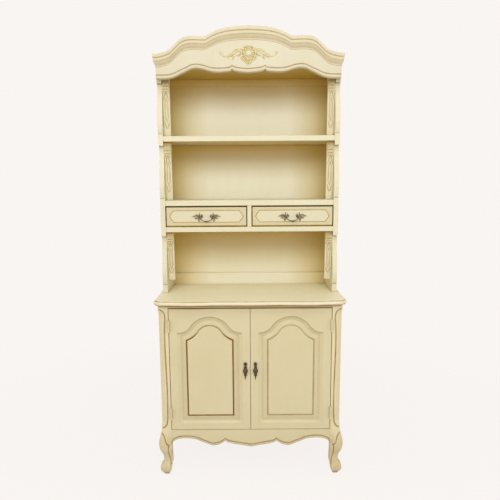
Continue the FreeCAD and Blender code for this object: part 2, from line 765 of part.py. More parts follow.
def whole(outline):
    """All the edges of an arched outline."""
    return outline["arch"] + outline["rest"]


def place_door(feature):
    """Move a piece drawn about the door middle to the left door."""
    bind(feature, "Placement.Base.x", -door_centre)
    return feature


def build_frame_cutter():
    """What the moulded inner edge and the panel groove take out of the door frame."""
    edge = new_body("sticking_cutter")
    inner = sketch_on(edge, "XZ_Plane", whole(arched_outline(0)), -(face + size.Sticking))
    outer = sketch_on(edge, "XZ_Plane", whole(arched_outline(size.Sticking)), -face)
    loft(edge, [inner, outer])
    groove = new_body("groove_cutter")
    tongue_front = frame_back - size.TongueBack - size.TongueThick
    pad_from_front(groove, whole(arched_outline(size.PanelTongue)), tongue_front, size.TongueThick)
    return fused("frame_cutter", [place_door(edge), place_door(groove)])


def build_door_panel():
    """Raised panel: a tongue all round, a wide sloping margin and a flat field."""
    body = new_body("door_left_panel")
    tongue_front = frame_back - size.TongueBack - size.TongueThick
    slope_front = face + size.FieldSetback + size.FieldStep
    pad_from_front(body, whole(arched_outline(size.PanelTongue)), tongue_front, size.TongueThick)
    low = sketch_on(body, "XZ_Plane", whole(arched_outline(0)), -tongue_front)
    high = sketch_on(body, "XZ_Plane", whole(arched_outline(-size.FieldMargin)), -slope_front)
    loft(body, [low, high])
    field = whole(arched_outline(-size.FieldMargin - size.FieldStep))
    pad_from_front(body, field, face + size.FieldSetback, size.FieldStep)
    place_door(body)
    keep_pair("door_left_panel", "door_right_panel", body)


def build_door_frames():
    """Stiles and rails of the left door, cut by the shared moulding cutter, and their twins."""
    cutter = build_frame_cutter()
    frame_y = (face, frame_back)
    door_z = (size.DoorBottom, door_top)
    opening = door_half - size.StileWidth
    hinge_x = (-door_outer, -door_outer + size.StileWidth)
    lock_x = (-door_inner - size.StileWidth, -door_inner)
    rail_x = (-door_centre - opening, -door_centre + opening)
    rail_z = (size.DoorBottom, size.DoorBottom + size.BottomRailWidth)
    plain = {
        "hinge_stile": board("hinge_stile_blank", hinge_x, frame_y, door_z),
        "lock_stile": board("lock_stile_blank", lock_x, frame_y, door_z),
        "bottom_rail": board("bottom_rail_blank", rail_x, frame_y, rail_z),
        "top_rail": top_rail_blank(opening),
    }
    for name, blank in plain.items():
        left = "door_left_" + name
        keep_pair(left, "door_right_" + name, without(left, blank, cutter))


def top_rail_blank(opening):
    """Arched top rail before it is moulded and grooved."""
    body = new_body("top_rail_blank")
    arch = arched_outline(0)["arch"]
    wide = float(opening)
    shoulder = float(door_top - size.TopRailWidth) - wide * ARCH_RISE_SHARE
    head = float(door_top)
    rest = lines([(-wide, shoulder), (-wide, head), (wide, head), (wide, shoulder)])
    pad_from_front(body, arch + rest, face, size.FrameThick)
    return place_door(body)


# Door pulls
def build_door_pulls():
    """Cast upright plate with a finial, a tail and an oval knob."""
    body = new_body("door_pull_left")
    bind(body, "Placement.Base.x", -size.PullOffset)
    half = float(size.PullWidth) / 2
    middle = float(pull_middle)

    def place(shares):
        return [(half * out, middle + float(size.PullHeight) * up) for up, out in shares]

    tail = place(PULL_TAIL_SHARES)
    trunk = place(PULL_BODY_SHARES)
    head = place(PULL_HEAD_SHARES)
    right = lines(tail) + arcs(trunk) + lines(head)
    left = lines(other_side(head)) + arcs(other_side(trunk)) + lines(other_side(tail))
    pad_from_front(body, right + left, face - size.PullPlate, size.PullPlate)
    oval = (size.KnobWidth, size.KnobHeight)
    dome(body, pull_middle, oval, face - size.PullPlate, size.KnobReach, size.KnobWidth * 0.3)
    keep_pair("door_pull_left", "door_pull_right", body)


def dome(body, middle, oval, root, reach, slope):
    """Oval boss standing out of a plate that faces the front, sloped round its outer edge."""
    width, height = oval
    outline = polygon(OVAL_SIDES, (0, middle), width / 2, height / 2)
    boss = pad_from_front(body, outline, root - reach, reach)
    document.recompute()
    outer = float(root - reach)
    names = edges_where(boss.Shape, lambda edge: lies_in_front(edge, outer, float(reach)))
    feature = body.newObject("PartDesign::Chamfer", body.Name + "_slope")
    feature.Base = (boss, names)
    bind(feature, "Size", slope)


# Hinges
hinge_x = -post_in + size.HingeGap / 2
hinge_y = face - size.BarrelRadius - size.BarrelStandoff


def hinge_levels():
    """Foot of the lower and of the upper hinge barrel."""
    low = size.DoorBottom + size.HingeInset
    high = door_top - size.HingeDrop - size.HingeHeight
    return [low, high]


def hinge_leaf(label, x, foot, knuckle):
    """A hinge leaf: a flat plate in the gap between door and post, with its solid knuckle."""
    low, high = knuckle
    plate = board(label + "_plate", x, (face, face + size.LeafDepth), (foot, foot + size.HingeHeight))
    tab = board(label + "_tab", x, (face - size.BarrelRadius / 3, face), (low, high))
    barrel = upright(label + "_knuckle", (hinge_x, hinge_y), size.BarrelRadius, low, high - low)
    return [plate, tab, barrel]


def build_hinges():
    """Lift-off hinges, two on each door: the leaf on the case carries the pin."""
    case_x = (-post_in, -post_in + size.LeafThick)
    door_x = (-door_outer - size.LeafThick, -door_outer)
    axis = (hinge_x, hinge_y)
    loose = (size.HingePinRadius + size.TurningFit) / math.cos(math.pi / BARREL_SIDES)
    case_leaves = []
    door_leaves = []
    for foot in hinge_levels():
        middle = foot + size.HingeHeight / 2
        head = foot + size.HingeHeight
        pin = upright("hinge_pin", axis, size.HingePinRadius, foot, size.HingeHeight)
        lower = hinge_leaf("case_leaf", case_x, foot, (foot, middle))
        case_leaves.append(fused("case_leaf", lower + [pin]))
        upper = hinge_leaf("door_leaf", door_x, foot, (middle + size.EndPlay, head))
        bore = upright("pin_bore", axis, loose, foot, size.HingeHeight * 2)
        door_leaves.append(without("door_leaf", fused("door_leaf_blank", upper), bore))
    case_twins = [mirrored("case_leaf_twin", leaf) for leaf in case_leaves]
    keep("hinge_case_leaves", group("hinge_case_leaves", case_leaves + case_twins))
    left = group("hinge_door_leaves_left", door_leaves)
    keep_pair("hinge_door_leaves_left", "hinge_door_leaves_right", left)


# Door catch
def build_catch():
    """Magnetic catch under the front rail and a strike plate on each door."""
    half = size.CatchWidth / 2
    catch_front = frame_back + size.StrikeThick + size.StrikeGap
    catch_y = (catch_front, catch_front + size.CatchDepth)
    catch_z = (rail_under - size.CatchHeight, rail_under)
    keep("door_catch", board("door_catch", (-half, half), catch_y, catch_z))
    strike_x = (-half, -half + size.StrikeWidth)
    strike_y = (frame_back, frame_back + size.StrikeThick)
    strike_z = (rail_under - size.CatchHeight, door_top)
    strike = board("strike_plate_left", strike_x, strike_y, strike_z)
    keep_pair("strike_plate_left", "strike_plate_right", strike)


# Hutch sides
def bay_front(high, low):
    """Scrolled front edge of one bay of a hutch side, from the top down."""
    drop = float(high) - float(low)
    deep = float(size.ScrollDepth)
    front = float(hutch_front)
    points = [(front + deep * behind, float(high) - drop * down) for down, behind in BAY_SCROLL_SHARES]
    return points


def build_hutch_sides():
    """Side boards whose front edge scrolls between plain blocks at the boards."""
    front = float(hutch_front)
    blocks = [
        (cornice_foot, cornice_foot - size.HeadBlock),
        (shelf_top + size.BlockAbove, shelf_under - size.BlockBelow),
        (upper_deck_top + size.BlockAbove, lower_deck_under - size.BlockBelow),
        (size.BaseHeight + size.FootBlock, size.BaseHeight),
    ]
    edges = []
    for place, (high, low) in enumerate(blocks):
        edges.append(line((front, high), (front, low)))
        if place + 1 < len(blocks):
            points = bay_front(low, blocks[place + 1][0])
            edges.append(line((front, low), points[0]))
            edges += arcs(points)
            edges.append(line(points[-1], (front, points[-1][1])))
    foot = float(size.BaseHeight)
    head = float(cornice_foot)
    rear = float(hutch_back)
    edges += lines([(front, foot), (rear, foot), (rear, head), (front, head)])
    body = new_body("hutch_side_left")
    pad(body, sketch_on(body, "YZ_Plane", edges, -hutch_half), size.HutchSideThick)
    keep_pair("hutch_side_left", "hutch_side_right", body)


def build_hutch_boards():
    """Boards, rails, divider and back of the hutch."""
    wide = (-hutch_in, hutch_in)
    rear = hutch_inner_back
    deep = (board_front, rear)
    keep("hutch_shelf", rounded_board("hutch_shelf", wide, deep, (shelf_under, shelf_top)))
    upper = rounded_board("drawer_deck_upper", wide, deep, (upper_deck_under, upper_deck_top))
    keep("drawer_deck_upper", upper)
    lower = rounded_board("drawer_deck_lower", wide, deep, (lower_deck_under, lower_deck_top))
    keep("drawer_deck_lower", lower)
    half = size.DividerThick / 2
    keep("drawer_divider", board("drawer_divider", (-half, half), deep, (lower_deck_top, upper_deck_under)))
    top_y = (cornice_back, hutch_back)
    keep("hutch_top_board", board("hutch_top_board", wide, top_y, (ceiling, ceiling + size.TopBoardThick)))
    rail_y = (rear - size.BackRailThick, rear)
    lower_z = (size.BaseHeight, size.BaseHeight + size.LowerRailHeight)
    lower_rail = board("lower_rail", wide, rail_y, lower_z)
    upper_rail = board("upper_rail", wide, rail_y, (ceiling - size.UpperRailHeight, ceiling))
    keep("hutch_back_rails", group("hutch_back_rails", [lower_rail, upper_rail]))
    panel_y = (rear, rear + size.BackPanelThick)
    keep("hutch_back_panel", board("hutch_back_panel", wide, panel_y, (size.BaseHeight, ceiling)))


# Carved corbels
def corbel_outline(head):
    """Corbel from the side: block, scroll, tapering shaft, collar and leaf drop."""
    tall = float(size.CorbelHeight)
    deep = float(size.CorbelDepth)
    rear = float(hutch_front + size.CorbelSetback + size.CorbelDepth)
    top = float(head)

    def place(shares):
        return [(rear - deep * out, top - tall * down) for down, out in shares]

    scroll = place(CORBEL_SCROLL_SHARES)
    shaft = place(CORBEL_SHAFT_SHARES)
    drop = place(CORBEL_DROP_SHARES)
    block = lines([(rear, top), (scroll[0][0], top), scroll[0]])
    rest = lines([drop[-1], (rear, drop[-1][1]), (rear, top)])
    return block + arcs(scroll) + lines(shaft) + arcs(drop) + rest


def corbel_trim(head):
    """What is taken off both sides of a corbel so that it tapers, seen from the front."""
    half = float(size.CorbelWidth) / 2
    clear = float(size.CorbelWidth)
    tall = float(size.CorbelHeight)
    edge = [(half * out, float(head) - tall * down) for down, out in CORBEL_TAPER_SHARES]
    right = [(clear, edge[0][1])] + edge + [(clear, edge[-1][1])]
    return closed(right) + closed([(-x, z) for x, z in right])


def build_corbels():
    """Three corbels beside each hutch side, each hung under the board above it."""
    lefts = []
    for head in (cornice_foot + size.CorbelTuck, shelf_under, lower_deck_under):
        body = new_body("corbel")
        bind(body, "Placement.Base.x", -hutch_in + size.CorbelWidth / 2)
        sketch = sketch_on(body, "YZ_Plane", corbel_outline(head), -size.CorbelWidth / 2)
        pad(body, sketch, size.CorbelWidth)
        cut_through(body, sketch_on(body, "XZ_Plane", corbel_trim(head)))
        lefts.append(body)
    keep("corbels_left", group("corbels_left", lefts))
    keep("corbels_right", group("corbels_right", [mirrored("corbel_twin", one) for one in lefts]))


# Cornice
def crown_edges(reach):
    """Arched upper edge of the cornice from the right to the left, reaching past the board."""
    outer = scaled(CROWN_OUTER_SHARES, cornice_half, size.CrownRise, crown_corner)
    middle = both_sides(scaled(CROWN_MIDDLE_SHARES, cornice_half, size.CrownRise, crown_corner))
    right = line((float(reach), outer[0][1]), outer[0])
    left = line(other_side(outer)[-1], (-float(reach), outer[0][1]))
    return [right] + arcs(outer) + arcs(middle) + arcs(other_side(outer)) + [left]


def foot_edges():
    """Scalloped lower edge of the cornice board, from the right to the left."""
    shares = (SCALLOP_OUTER_SHARES, SCALLOP_MIDDLE_SHARES)
    return scallop(*shares, cornice_half, size.ScallopRise, cornice_foot)


def crown_profile(start, head, outward):
    """Crown moulding from the end, standing out of a face one way or the other."""
    start, head = float(start), float(head)
    out = float(size.CrownProjection) * outward
    drop = float(size.CrownHeight)
    return closed([(start + out * across, head - drop * down) for across, down in CROWN_SHARES])


def build_crown():
    """Crown moulding along the arched edge, mitred to a return on each side."""
    reach = cornice_half + size.CrownProjection
    body = new_body("crown_front")
    path = sketch_on(body, "XZ_Plane", crown_edges(reach), -cornice_face)
    profile = sketch_on(body, "YZ_Plane", crown_profile(cornice_face, crown_corner, -1), reach)
    sweep_fixed(body, profile, path)
    near = float(cornice_half)
    far = float(cornice_half) + float(size.CrownProjection) * 2
    high = float(cornice_face)
    low = float(cornice_face) - float(size.CrownProjection) * 2
    corner = [(near, high), (far, low), (far, high)]
    both = closed(corner) + closed([(-x, y) for x, y in corner])
    cut_through(body, sketch_on(body, "XY_Plane", both))
    keep("crown_front", body)
    side = new_body("crown_return_left")
    outline = crown_profile(-cornice_half, crown_corner, -1)
    front = cornice_face - size.CrownProjection
    pad_from_front(side, outline, front, hutch_back - front)
    cut_through(side, sketch_on(side, "XY_Plane", closed([(-near, high), (-far, low), (near, low)])))
    keep("crown_returns", group("crown_returns", [side, mirrored("crown_return_right", side)]))


def build_cornice():
    """Cornice board, its two side boards and the bead along its scalloped foot."""
    body = new_body("cornice_board")
    half = float(cornice_half)
    upper = crown_edges(cornice_half)
    lower = foot_edges()
    high = float(crown_corner)
    low = float(cornice_foot)
    ends = [line((half, low), (half, high)), line((-half, low), (-half, high))]
    pad_from_front(body, upper + lower + ends, cornice_face, size.CorniceThick)
    keep("cornice_board", body)
    side_x = (-cornice_half, -hutch_in)
    side = board("cornice_side_left", side_x, (cornice_back, hutch_back), (cornice_foot, crown_corner))
    keep("cornice_sides", group("cornice_sides", [side, mirrored("cornice_side_right", side)]))
    bead = new_body("cornice_bead")
    path = sketch_on(bead, "XZ_Plane", foot_edges(), -cornice_face)
    section = bead_profile(cornice_face, cornice_foot, size.CorniceBead)
    profile = sketch_on(bead, "YZ_Plane", section, cornice_half)
    sweep_fixed(bead, profile, path)
    keep("cornice_bead", bead)


def build_applique():
    """Applied ornament: a cartouche with an oval boss and a scroll arm on each side."""
    half = float(size.AppliqueWidth) / 2
    tall = float(size.AppliqueHeight)
    middle = float(applique_middle)
    body = new_body("cornice_applique")
    right = scaled(CARTOUCHE_SHARES, half, tall, middle)
    cartouche = arcs(right) + arcs([(-x, z) for x, z in right])
    pad_from_front(body, cartouche, cornice_face - size.CartoucheThick, size.CartoucheThick)
    for side in (1, -1):
        arm = closed(scaled(ARM_SHARES, half * side, tall, middle))
        pad_from_front(body, arm, cornice_face - size.AppliqueThick, size.AppliqueThick)
    root = cornice_face - size.CartoucheThick
    oval = (size.BossWidth, size.BossHeight)
    dome(body, applique_middle, oval, root, size.BossReach, size.BossReach * 0.8)
    keep("cornice_applique", body)


# Drawers
drawer_outer = hutch_in - size.DrawerGap
drawer_inner = size.DividerThick / 2 + size.DrawerGap
drawer_foot = lower_deck_top + size.DrawerGap
drawer_head = upper_deck_under - size.DrawerGap
drawer_middle = (drawer_outer + drawer_inner) / 2
drawer_front_back = board_front + size.FrameThick
drawer_rear = hutch_inner_back - size.DrawerRearGap
bail_y = board_front - size.BailStandoff
bail_z = (drawer_foot + drawer_head) / 2 + size.BailLift


def build_drawers():
    """Drawer boxes behind inset fronts, on the left and mirrored."""
    wide = (-drawer_outer, -drawer_inner)
    front = board("drawer_left_front", wide, (board_front, drawer_front_back), (drawer_foot, drawer_head))
    keep_pair("drawer_left_front", "drawer_right_front", front)
    side_head = drawer_head - size.DrawerSideDrop
    side_y = (drawer_front_back, drawer_rear)
    side_z = (lower_deck_top + size.RunnerPlay, side_head)
    thick = size.DrawerSideThick
    outer = board("drawer_side_outer", (-drawer_outer, -drawer_outer + thick), side_y, side_z)
    inner = board("drawer_side_inner", (-drawer_inner - thick, -drawer_inner), side_y, side_z)
    keep_pair("drawer_left_sides", "drawer_right_sides", group("drawer_left_sides", [outer, inner]))
    between = (-drawer_outer + thick, -drawer_inner - thick)
    rear = board("drawer_left_back", between, (drawer_rear - thick, drawer_rear), side_z)
    keep_pair("drawer_left_back", "drawer_right_back", rear)
    bottom_foot = drawer_foot + size.DrawerBottomRise
    bottom_z = (bottom_foot, bottom_foot + size.DrawerBottomThick)
    bottom = board("drawer_left_bottom", between, (drawer_front_back, drawer_rear - thick), bottom_z)
    keep_pair("drawer_left_bottom", "drawer_right_bottom", bottom)


def rosette(side):
    """Leafy plate with the eye that carries one end of the bail."""
    body = new_body("rosette")
    centre = -drawer_middle + size.BailSpan / 2 * side
    bind(body, "Placement.Base.x", centre)
    leaf = scaled(ROSETTE_SHARES, size.RosetteReach * side, size.RosetteRise, bail_z)
    pad_from_front(body, closed(leaf), board_front - size.RosetteThick, size.RosetteThick)
    pad(body, sketch_on(body, "YZ_Plane", eye_outline(), -size.EyeWidth / 2), size.EyeWidth)
    return body


def eye_outline():
    """Eye of a drawer pull from the side: a round nose with the hole for the bail."""
    radius = float(size.EyeRadius)
    low = float(bail_z) - radius
    high = float(bail_z) + radius
    root = float(board_front - size.RosetteThick / 2)
    pivot = float(bail_y)
    outline = lines([(pivot, low), (root, low), (root, high), (pivot, high)])
    nose = arc((pivot, high), (pivot - radius, bail_z), (pivot, low))
    corner = (size.BailRadius + size.TurningFit) / math.cos(math.pi / BARREL_SIDES)
    return outline + [nose] + polygon(BARREL_SIDES, (pivot, bail_z), corner, corner)


def bail_path():
    """The hanging bail from eye to eye: level inside the eyes, then one wave down and up."""
    half = float(size.BailSpan) / 2
    reach = half - float(size.EyeWidth) * 0.6
    drop = float(size.BailDrop)
    level = float(bail_z)
    shares = [1 - 2 * step / BAIL_STEPS for step in range(BAIL_STEPS + 1)]
    wave = [(reach * share, level - drop * (1 + math.cos(math.pi * share)) / 2) for share in shares]
    return [(half, level)] + wave + [(-half, level)]


def build_drawer_pulls():
    """A pair of rosettes on each drawer and the bail that hangs between them."""
    pair = group("drawer_left_rosettes", [rosette(-1), rosette(1)])
    keep_pair("drawer_left_rosettes", "drawer_right_rosettes", pair)
    bail = new_body("drawer_left_bail")
    bind(bail, "Placement.Base.x", -drawer_middle)
    path = sketch_on(bail, "XZ_Plane", lines(bail_path()), -bail_y)
    outline = polygon(BAIL_SIDES, (bail_y, bail_z), size.BailRadius, size.BailRadius)
    profile = sketch_on(bail, "YZ_Plane", outline, size.BailSpan / 2)
    feature = bail.newObject("PartDesign::AdditivePipe", "bail_rod")
    feature.Profile = profile
    feature.Spine = path
    feature.Mode = "Standard"
    feature.Transition = "Right corner"
    keep_pair("drawer_left_bail", "drawer_right_bail", bail)


def check_document():
    """Stop if any object of the document failed or has no sound shape."""
    for feature in document.Objects:
        if "Invalid" in feature.State or "Error" in feature.State:
            raise RuntimeError(feature.Label + " failed: " + str(feature.State))
    for label, feature in pieces.items():
        if feature.Shape.isNull() or not feature.Shape.isValid() or not feature.Shape.Solids:
            raise RuntimeError(label + " has no sound shape")


def export_pieces():
    """Write each piece to its own file."""
    os.makedirs("parts", exist_ok=True)
    for label, feature in pieces.items():
        feature.Shape.exportStep("parts/" + label + ".step")


build_base_top()
build_front_legs()
build_rear_legs()
build_side_panels()
build_shelf_cleats()
build_cupboard_floor()
build_base_boards()
build_apron()
build_door_panel()
build_door_frames()
build_door_pulls()
build_hinges()
build_catch()
build_hutch_sides()
build_hutch_boards()
build_corbels()
build_crown()
build_cornice()
build_applique()
build_drawers()
build_drawer_pulls()
document.recompute()
check_document()
export_pieces()
print("pieces", len(pieces))
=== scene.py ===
"""A painted French provincial hutch cabinet, dressed over its packed construction frame."""

import math

import bmesh
import bpy
import numpy as np
from mathutils import Matrix, Vector


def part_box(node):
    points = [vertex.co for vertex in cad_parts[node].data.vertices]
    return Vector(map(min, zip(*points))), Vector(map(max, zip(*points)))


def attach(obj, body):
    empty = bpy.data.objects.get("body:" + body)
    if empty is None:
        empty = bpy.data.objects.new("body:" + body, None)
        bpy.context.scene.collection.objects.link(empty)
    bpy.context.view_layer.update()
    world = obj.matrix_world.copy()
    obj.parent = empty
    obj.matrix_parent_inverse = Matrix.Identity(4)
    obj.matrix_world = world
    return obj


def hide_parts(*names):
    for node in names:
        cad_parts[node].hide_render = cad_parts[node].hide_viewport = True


bl_info = {
    "name": "Hutch Cabinet",
    "version": (1, 0, 0),
    "blender": (4, 5, 0),
    "location": "View3D > Sidebar > Hutch Cabinet",
    "description": "Builds the visible pieces of a painted hutch cabinet over its frame",
    "category": "Object",
}

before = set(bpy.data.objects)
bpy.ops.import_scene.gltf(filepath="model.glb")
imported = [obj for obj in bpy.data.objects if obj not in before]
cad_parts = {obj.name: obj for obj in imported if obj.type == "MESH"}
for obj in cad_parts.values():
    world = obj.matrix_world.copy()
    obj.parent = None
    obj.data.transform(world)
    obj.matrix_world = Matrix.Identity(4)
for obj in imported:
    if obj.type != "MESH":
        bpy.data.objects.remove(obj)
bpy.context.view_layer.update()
MM = 0.001
# each side of the cabinet: its direction across and its word in the names
SIDES = ((-1, "left"), (1, "right"))
# turns flat places, across first, over to the other side
MIRROR = np.array([-1.0, 1.0])


def low_of(node):
    """Lowest corner of a node of the frame."""
    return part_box(node)[0]


def high_of(node):
    """Highest corner of a node of the frame."""
    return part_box(node)[1]


# Sizes that several pieces share, the same as in the frame
TOP_OVERHANG = 18 * MM
BOARD_THICK = 20 * MM
CORNICE_SIDE = 103 * MM
CROWN_RISE = 112 * MM
POST = 45 * MM
LEG = 225 * MM

# Places taken from the frame
FACE_Y = low_of("door_left_hinge_stile").y
POST_OUT = high_of("base_top").x - TOP_OVERHANG
POST_HEAD = low_of("base_top").z
CORNICE_HALF = high_of("cornice_board").x
CORNICE_FACE = high_of("cornice_board").y - BOARD_THICK
CORNICE_FOOT = low_of("cornice_board").z
CORNICE_CORNER = CORNICE_FOOT + CORNICE_SIDE
DRAWER_FACE = low_of("drawer_left_front").y

# Shapes drawn as shares of the sizes, the same as in the frame
TOP_CORNER_SHARES = [(0.0, 0.8), (0.28, 0.58), (0.5, 0.3), (0.75, 0.08)]
TOP_FRONT_SHARES = [
    (0.9, 0.02), (0.8, 0.25), (0.72, 0.65), (0.58, 1.0), (0.45, 0.62), (0.32, 0.35), (0.17, 0.55),
    (0.0, 0.7),
]
# front leg: height, middle on the diagonal, half width and corner, as shares of leg and post
LEG_SHARES = [
    (1.0, 0.5, 0.5, 0.1), (0.91, 0.455, 0.54, 0.2), (0.8, 0.37, 0.62, 0.3), (0.675, 0.33, 0.66, 0.34),
    (0.515, 0.4, 0.59, 0.34), (0.35, 0.545, 0.465, 0.27), (0.28, 0.54, 0.47, 0.25), (0.2, 0.35, 0.555, 0.27),
    (0.13, 0.31, 0.56, 0.27), (0.055, 0.335, 0.42, 0.2), (0.0, 0.37, 0.27, 0.13),
]
# scalloped edges: two smooth curves that meet at a cusp, as shares of half the width and of the rise
APRON_CUSP_SHARE = 0.322
APRON_SHARES = (
    [
        (1.0, 0.14), (0.954, 0.405), (0.877, 0.5), (0.785, 0.506), (0.698, 0.446), (0.621, 0.31),
        (0.545, 0.18), (0.465, 0.08), (0.409, 0.13), (0.372, 0.2), (0.34, 0.29), (APRON_CUSP_SHARE, 0.36),
    ],
    [(APRON_CUSP_SHARE, 0.36), (0.3, 0.27), (0.25, 0.2), (0.15, 0.12), (0.0, 0.0)],
)
SCALLOP_CUSP_SHARE = 0.185
SCALLOP_SHARES = (
    [
        (1.0, 0.0), (0.906, 0.0), (0.813, 0.14), (0.746, 0.42), (0.677, 0.7), (0.562, 1.02), (0.456, 0.826),
        (0.394, 0.674), (0.337, 0.628), (0.259, 0.65), (SCALLOP_CUSP_SHARE, 0.93),
    ],
    [(SCALLOP_CUSP_SHARE, 0.93), (0.1, 0.65), (0.0, 0.57)],
)
CROWN_END_SHARE = 0.985
CROWN_CUSP_SHARE = 0.461
CROWN_SHARES = (
    [
        (CROWN_END_SHARE, 0.0), (0.906, 0.058), (0.828, 0.2), (0.806, 0.277), (0.785, 0.345), (0.64, 0.632),
        (CROWN_CUSP_SHARE, 0.62),
    ],
    [(CROWN_CUSP_SHARE, 0.62), (0.355, 0.817), (0.219, 0.945), (0.0, 1.0)],
)
# corbel from the side: share down, share of the depth
CORBEL_SIDE_SHARES = [
    (0.0, 0.86), (0.06, 0.92), (0.12, 1.0), (0.17, 1.01), (0.22, 0.92), (0.27, 0.8), (0.36, 0.7), (0.5, 0.6),
    (0.66, 0.5), (0.78, 0.42), (0.87, 0.33), (0.94, 0.26), (1.0, 0.2),
]


def linear(code):
    """A screen colour written as six digits, as the light values the shaders use."""
    channels = [int(code[place:place + 2], 16) / 255 for place in (0, 2, 4)]
    bright = [c / 12.92 if c <= 0.04045 else ((c + 0.055) / 1.055) ** 2.4 for c in channels]
    return (*bright, 1.0)


def colour(name, description, code):
    """A colour that a user may change."""
    return bpy.props.FloatVectorProperty(
        name=name, description=description, subtype="COLOR", size=4, min=0, max=1, default=linear(code))


def length(name, description, millimetres):
    """A length that a user may change."""
    return bpy.props.FloatProperty(
        name=name, description=description, unit="LENGTH", min=0, default=millimetres * MM)


def power(name, description, watts):
    """The power of a light, which a user may change."""
    return bpy.props.FloatProperty(
        name=name, description=description, subtype="POWER", min=0, default=watts)


def angle(name, description, degrees):
    """An angle that a user may change."""
    return bpy.props.FloatProperty(
        name=name, description=description, subtype="ANGLE", default=math.radians(degrees))


class HutchFinish(bpy.types.PropertyGroup):
    """Colours and wear of the finishes."""

    hutch_cream: colour("Hutch cream", "Cream paint of the hutch", "dcd6ba")
    # painted shade: the cornice takes a duller copy of the cream
    cornice_shaded_cream: colour("Cornice cream", "Cream paint of the cornice, duller as painted shade", "d1cab2")
    crown_cream: colour("Moulding cream", "Yellower cream paint of the moulding along the cornice", "d5ccb0")
    base_cream: colour("Base cream", "Cream paint of the base and its doors", "d3c8a4")
    # painted light: the legs and posts take a paler copy of the base cream
    post_lit_cream: colour("Post cream", "Cream paint of the legs and posts, paler as painted light", "ddd1ab")
    # painted light: the base top takes a paler copy of the cream, as if lit from above
    top_lit_cream: colour("Top cream", "Cream paint of the base top, paler as painted light", "f2ebcb")
    # painted light: the back panels take a cream brightened near white
    back_lit_cream: colour("Back cream", "Cream paint of the back panels, brightened as painted light", "fcfae6")
    drawer_cream: colour("Drawer cream", "Cream paint of the drawer fronts", "d8d1b4")
    # painted shade: the rail under the base top takes a browner copy of the cream
    rail_shaded_cream: colour("Rail cream", "Paint of the rail under the base top, browner as painted shade", "d6c290")
    corbel_cream: colour("Corbel cream", "Yellower cream of the carved corbels", "e5e0c2")
    # the glaze colour also lays painted shade in corners and gaps, and the painted shadow line along the
    # rail's foot
    glaze: colour("Glaze", "Brown glaze left in grooves and corners, and painted shade there", "7d5a26")
    # also painted shade under the beads and over the cove of the crown
    hutch_line_and_shade: colour("Hutch line and shade", "Antique gold in the scored lines of the hutch, and its painted shade", "967a2c")
    # also painted shade under the nose, under the apron bead, on the arched moulding and on the legs
    base_line_and_shade: colour("Base line and shade", "Browner gold in the scored lines of the base, and its painted shade", "80580c")
    drawer_line: colour("Drawer line", "Honey glaze round the drawer fronts", "a8882e")
    # also painted shade at the heads of the corbels
    corbel_glaze_and_shade: colour("Corbel line and shade", "Golden glaze in the carving of the corbels, and painted shade at their heads", "a28538")
    # painted shadow in the gaps and under the nose, and the darkest part of the left door's lines
    deep_line_and_shadow: colour("Deep line and shadow", "Darkest tone: painted shadow along edges in shade, and the darkest glaze lines", "2c1b0b")
    board_shade: colour("Board shade", "Warm shading of the back panels under each board", "d2ac46")
    side_shade: colour("Side shade", "Honey shading of the back panels beside the sides", "d2b450")
    # painted shade on faces that look down
    ceiling: colour("Ceiling", "Painted brown shade under the boards of the hutch", "b8963f")
    worn: colour("Worn edge", "Undercoat that shows on rubbed edges", "b9975a")
    gilt: colour("Gilt", "Gold of the applied ornament", "dcca84")
    gilt_shade: colour("Gilt shade", "Olive brown in the hollows of the ornament", "a58c30")
    metal: colour("Pull metal", "Dark antique metal of the pulls", "5f5344")
    plate_metal: colour("Plate metal", "Paler rubbed metal of the drawer plates", "9a8d72")
    metal_bright: colour("Pull highlights", "Metal that shows on the rubbed high parts", "b09c7c")
    catch_plastic: colour("Catch plastic", "Plastic of the magnetic catch", "b9a98a")
    strike_steel: colour("Strike steel", "Steel of the strike plates", "a9a8a4")
    drawer_wood: colour("Drawer wood", "Bare wood of the drawer boxes and the case inside", "c79f68")
    drawer_grain: colour("Drawer grain", "Dark grain of the bare wood", "96693a")
    backdrop: colour("Backdrop", "Floor and background", "f9f5f2")
    wear: bpy.props.FloatProperty(
        name="Wear", description="How far the paint is rubbed through along edges", min=0, max=1,
        subtype="FACTOR", default=0.35)


class HutchSizes(bpy.types.PropertyGroup):
    """Sizes of the lines, the carving and the shading."""

    line_width: length("Line width", "Width of a scored gold line", 3.0)
    post_line_width: length("Post line width", "Width of a scored line on a post or a knee", 4.6)
    line_depth: length("Line depth", "Depth of a scored gold line", 0.8)
    # painted shadow of the gap round each drawer front
    gap_shadow_width: length("Gap shadow", "Width of the painted gap shadow round a drawer front", 2.8)
    knee_groove: length("Knee groove", "Depth of the groove carved down the knee of a leg", 1.4)
    leaf_relief: length("Leaf relief", "How far the leaves of the applied ornament stand out", 4.5)
    board_shade: length("Board shade", "Height of the warm shading under each board", 190)
    side_shade: length("Side shade", "Width of the honey shading beside the sides", 190)


class HutchStage(bpy.types.PropertyGroup):
    """Camera and light."""

    camera_place: bpy.props.FloatVectorProperty(
        name="Camera place", description="Where the camera stands", subtype="TRANSLATION", size=3,
        default=(-0.0085, -2.5604, 1.3329))
    pitch: angle("Pitch", "How far the camera looks down", 9.84)
    roll: angle("Roll", "How far the camera is turned about its line of sight", -0.381)
    lens: bpy.props.FloatProperty(
        name="Lens", description="Focal length for a sensor 36 mm wide", min=1, default=39.1)
    key_power: power("Key light", "Power of the large light above the front", 52.5)
    fill_power: power("Fill light", "Power of the low light in front", 8)
    over_power: power("Over light", "Power of the light high over the base top", 24)
    side_power: power("Side lights", "Power of the low light at each side", 16)
    sky_strength: bpy.props.FloatProperty(
        name="Sky strength", description="Even light from all round", min=0, default=0.475)


# Curves and masks


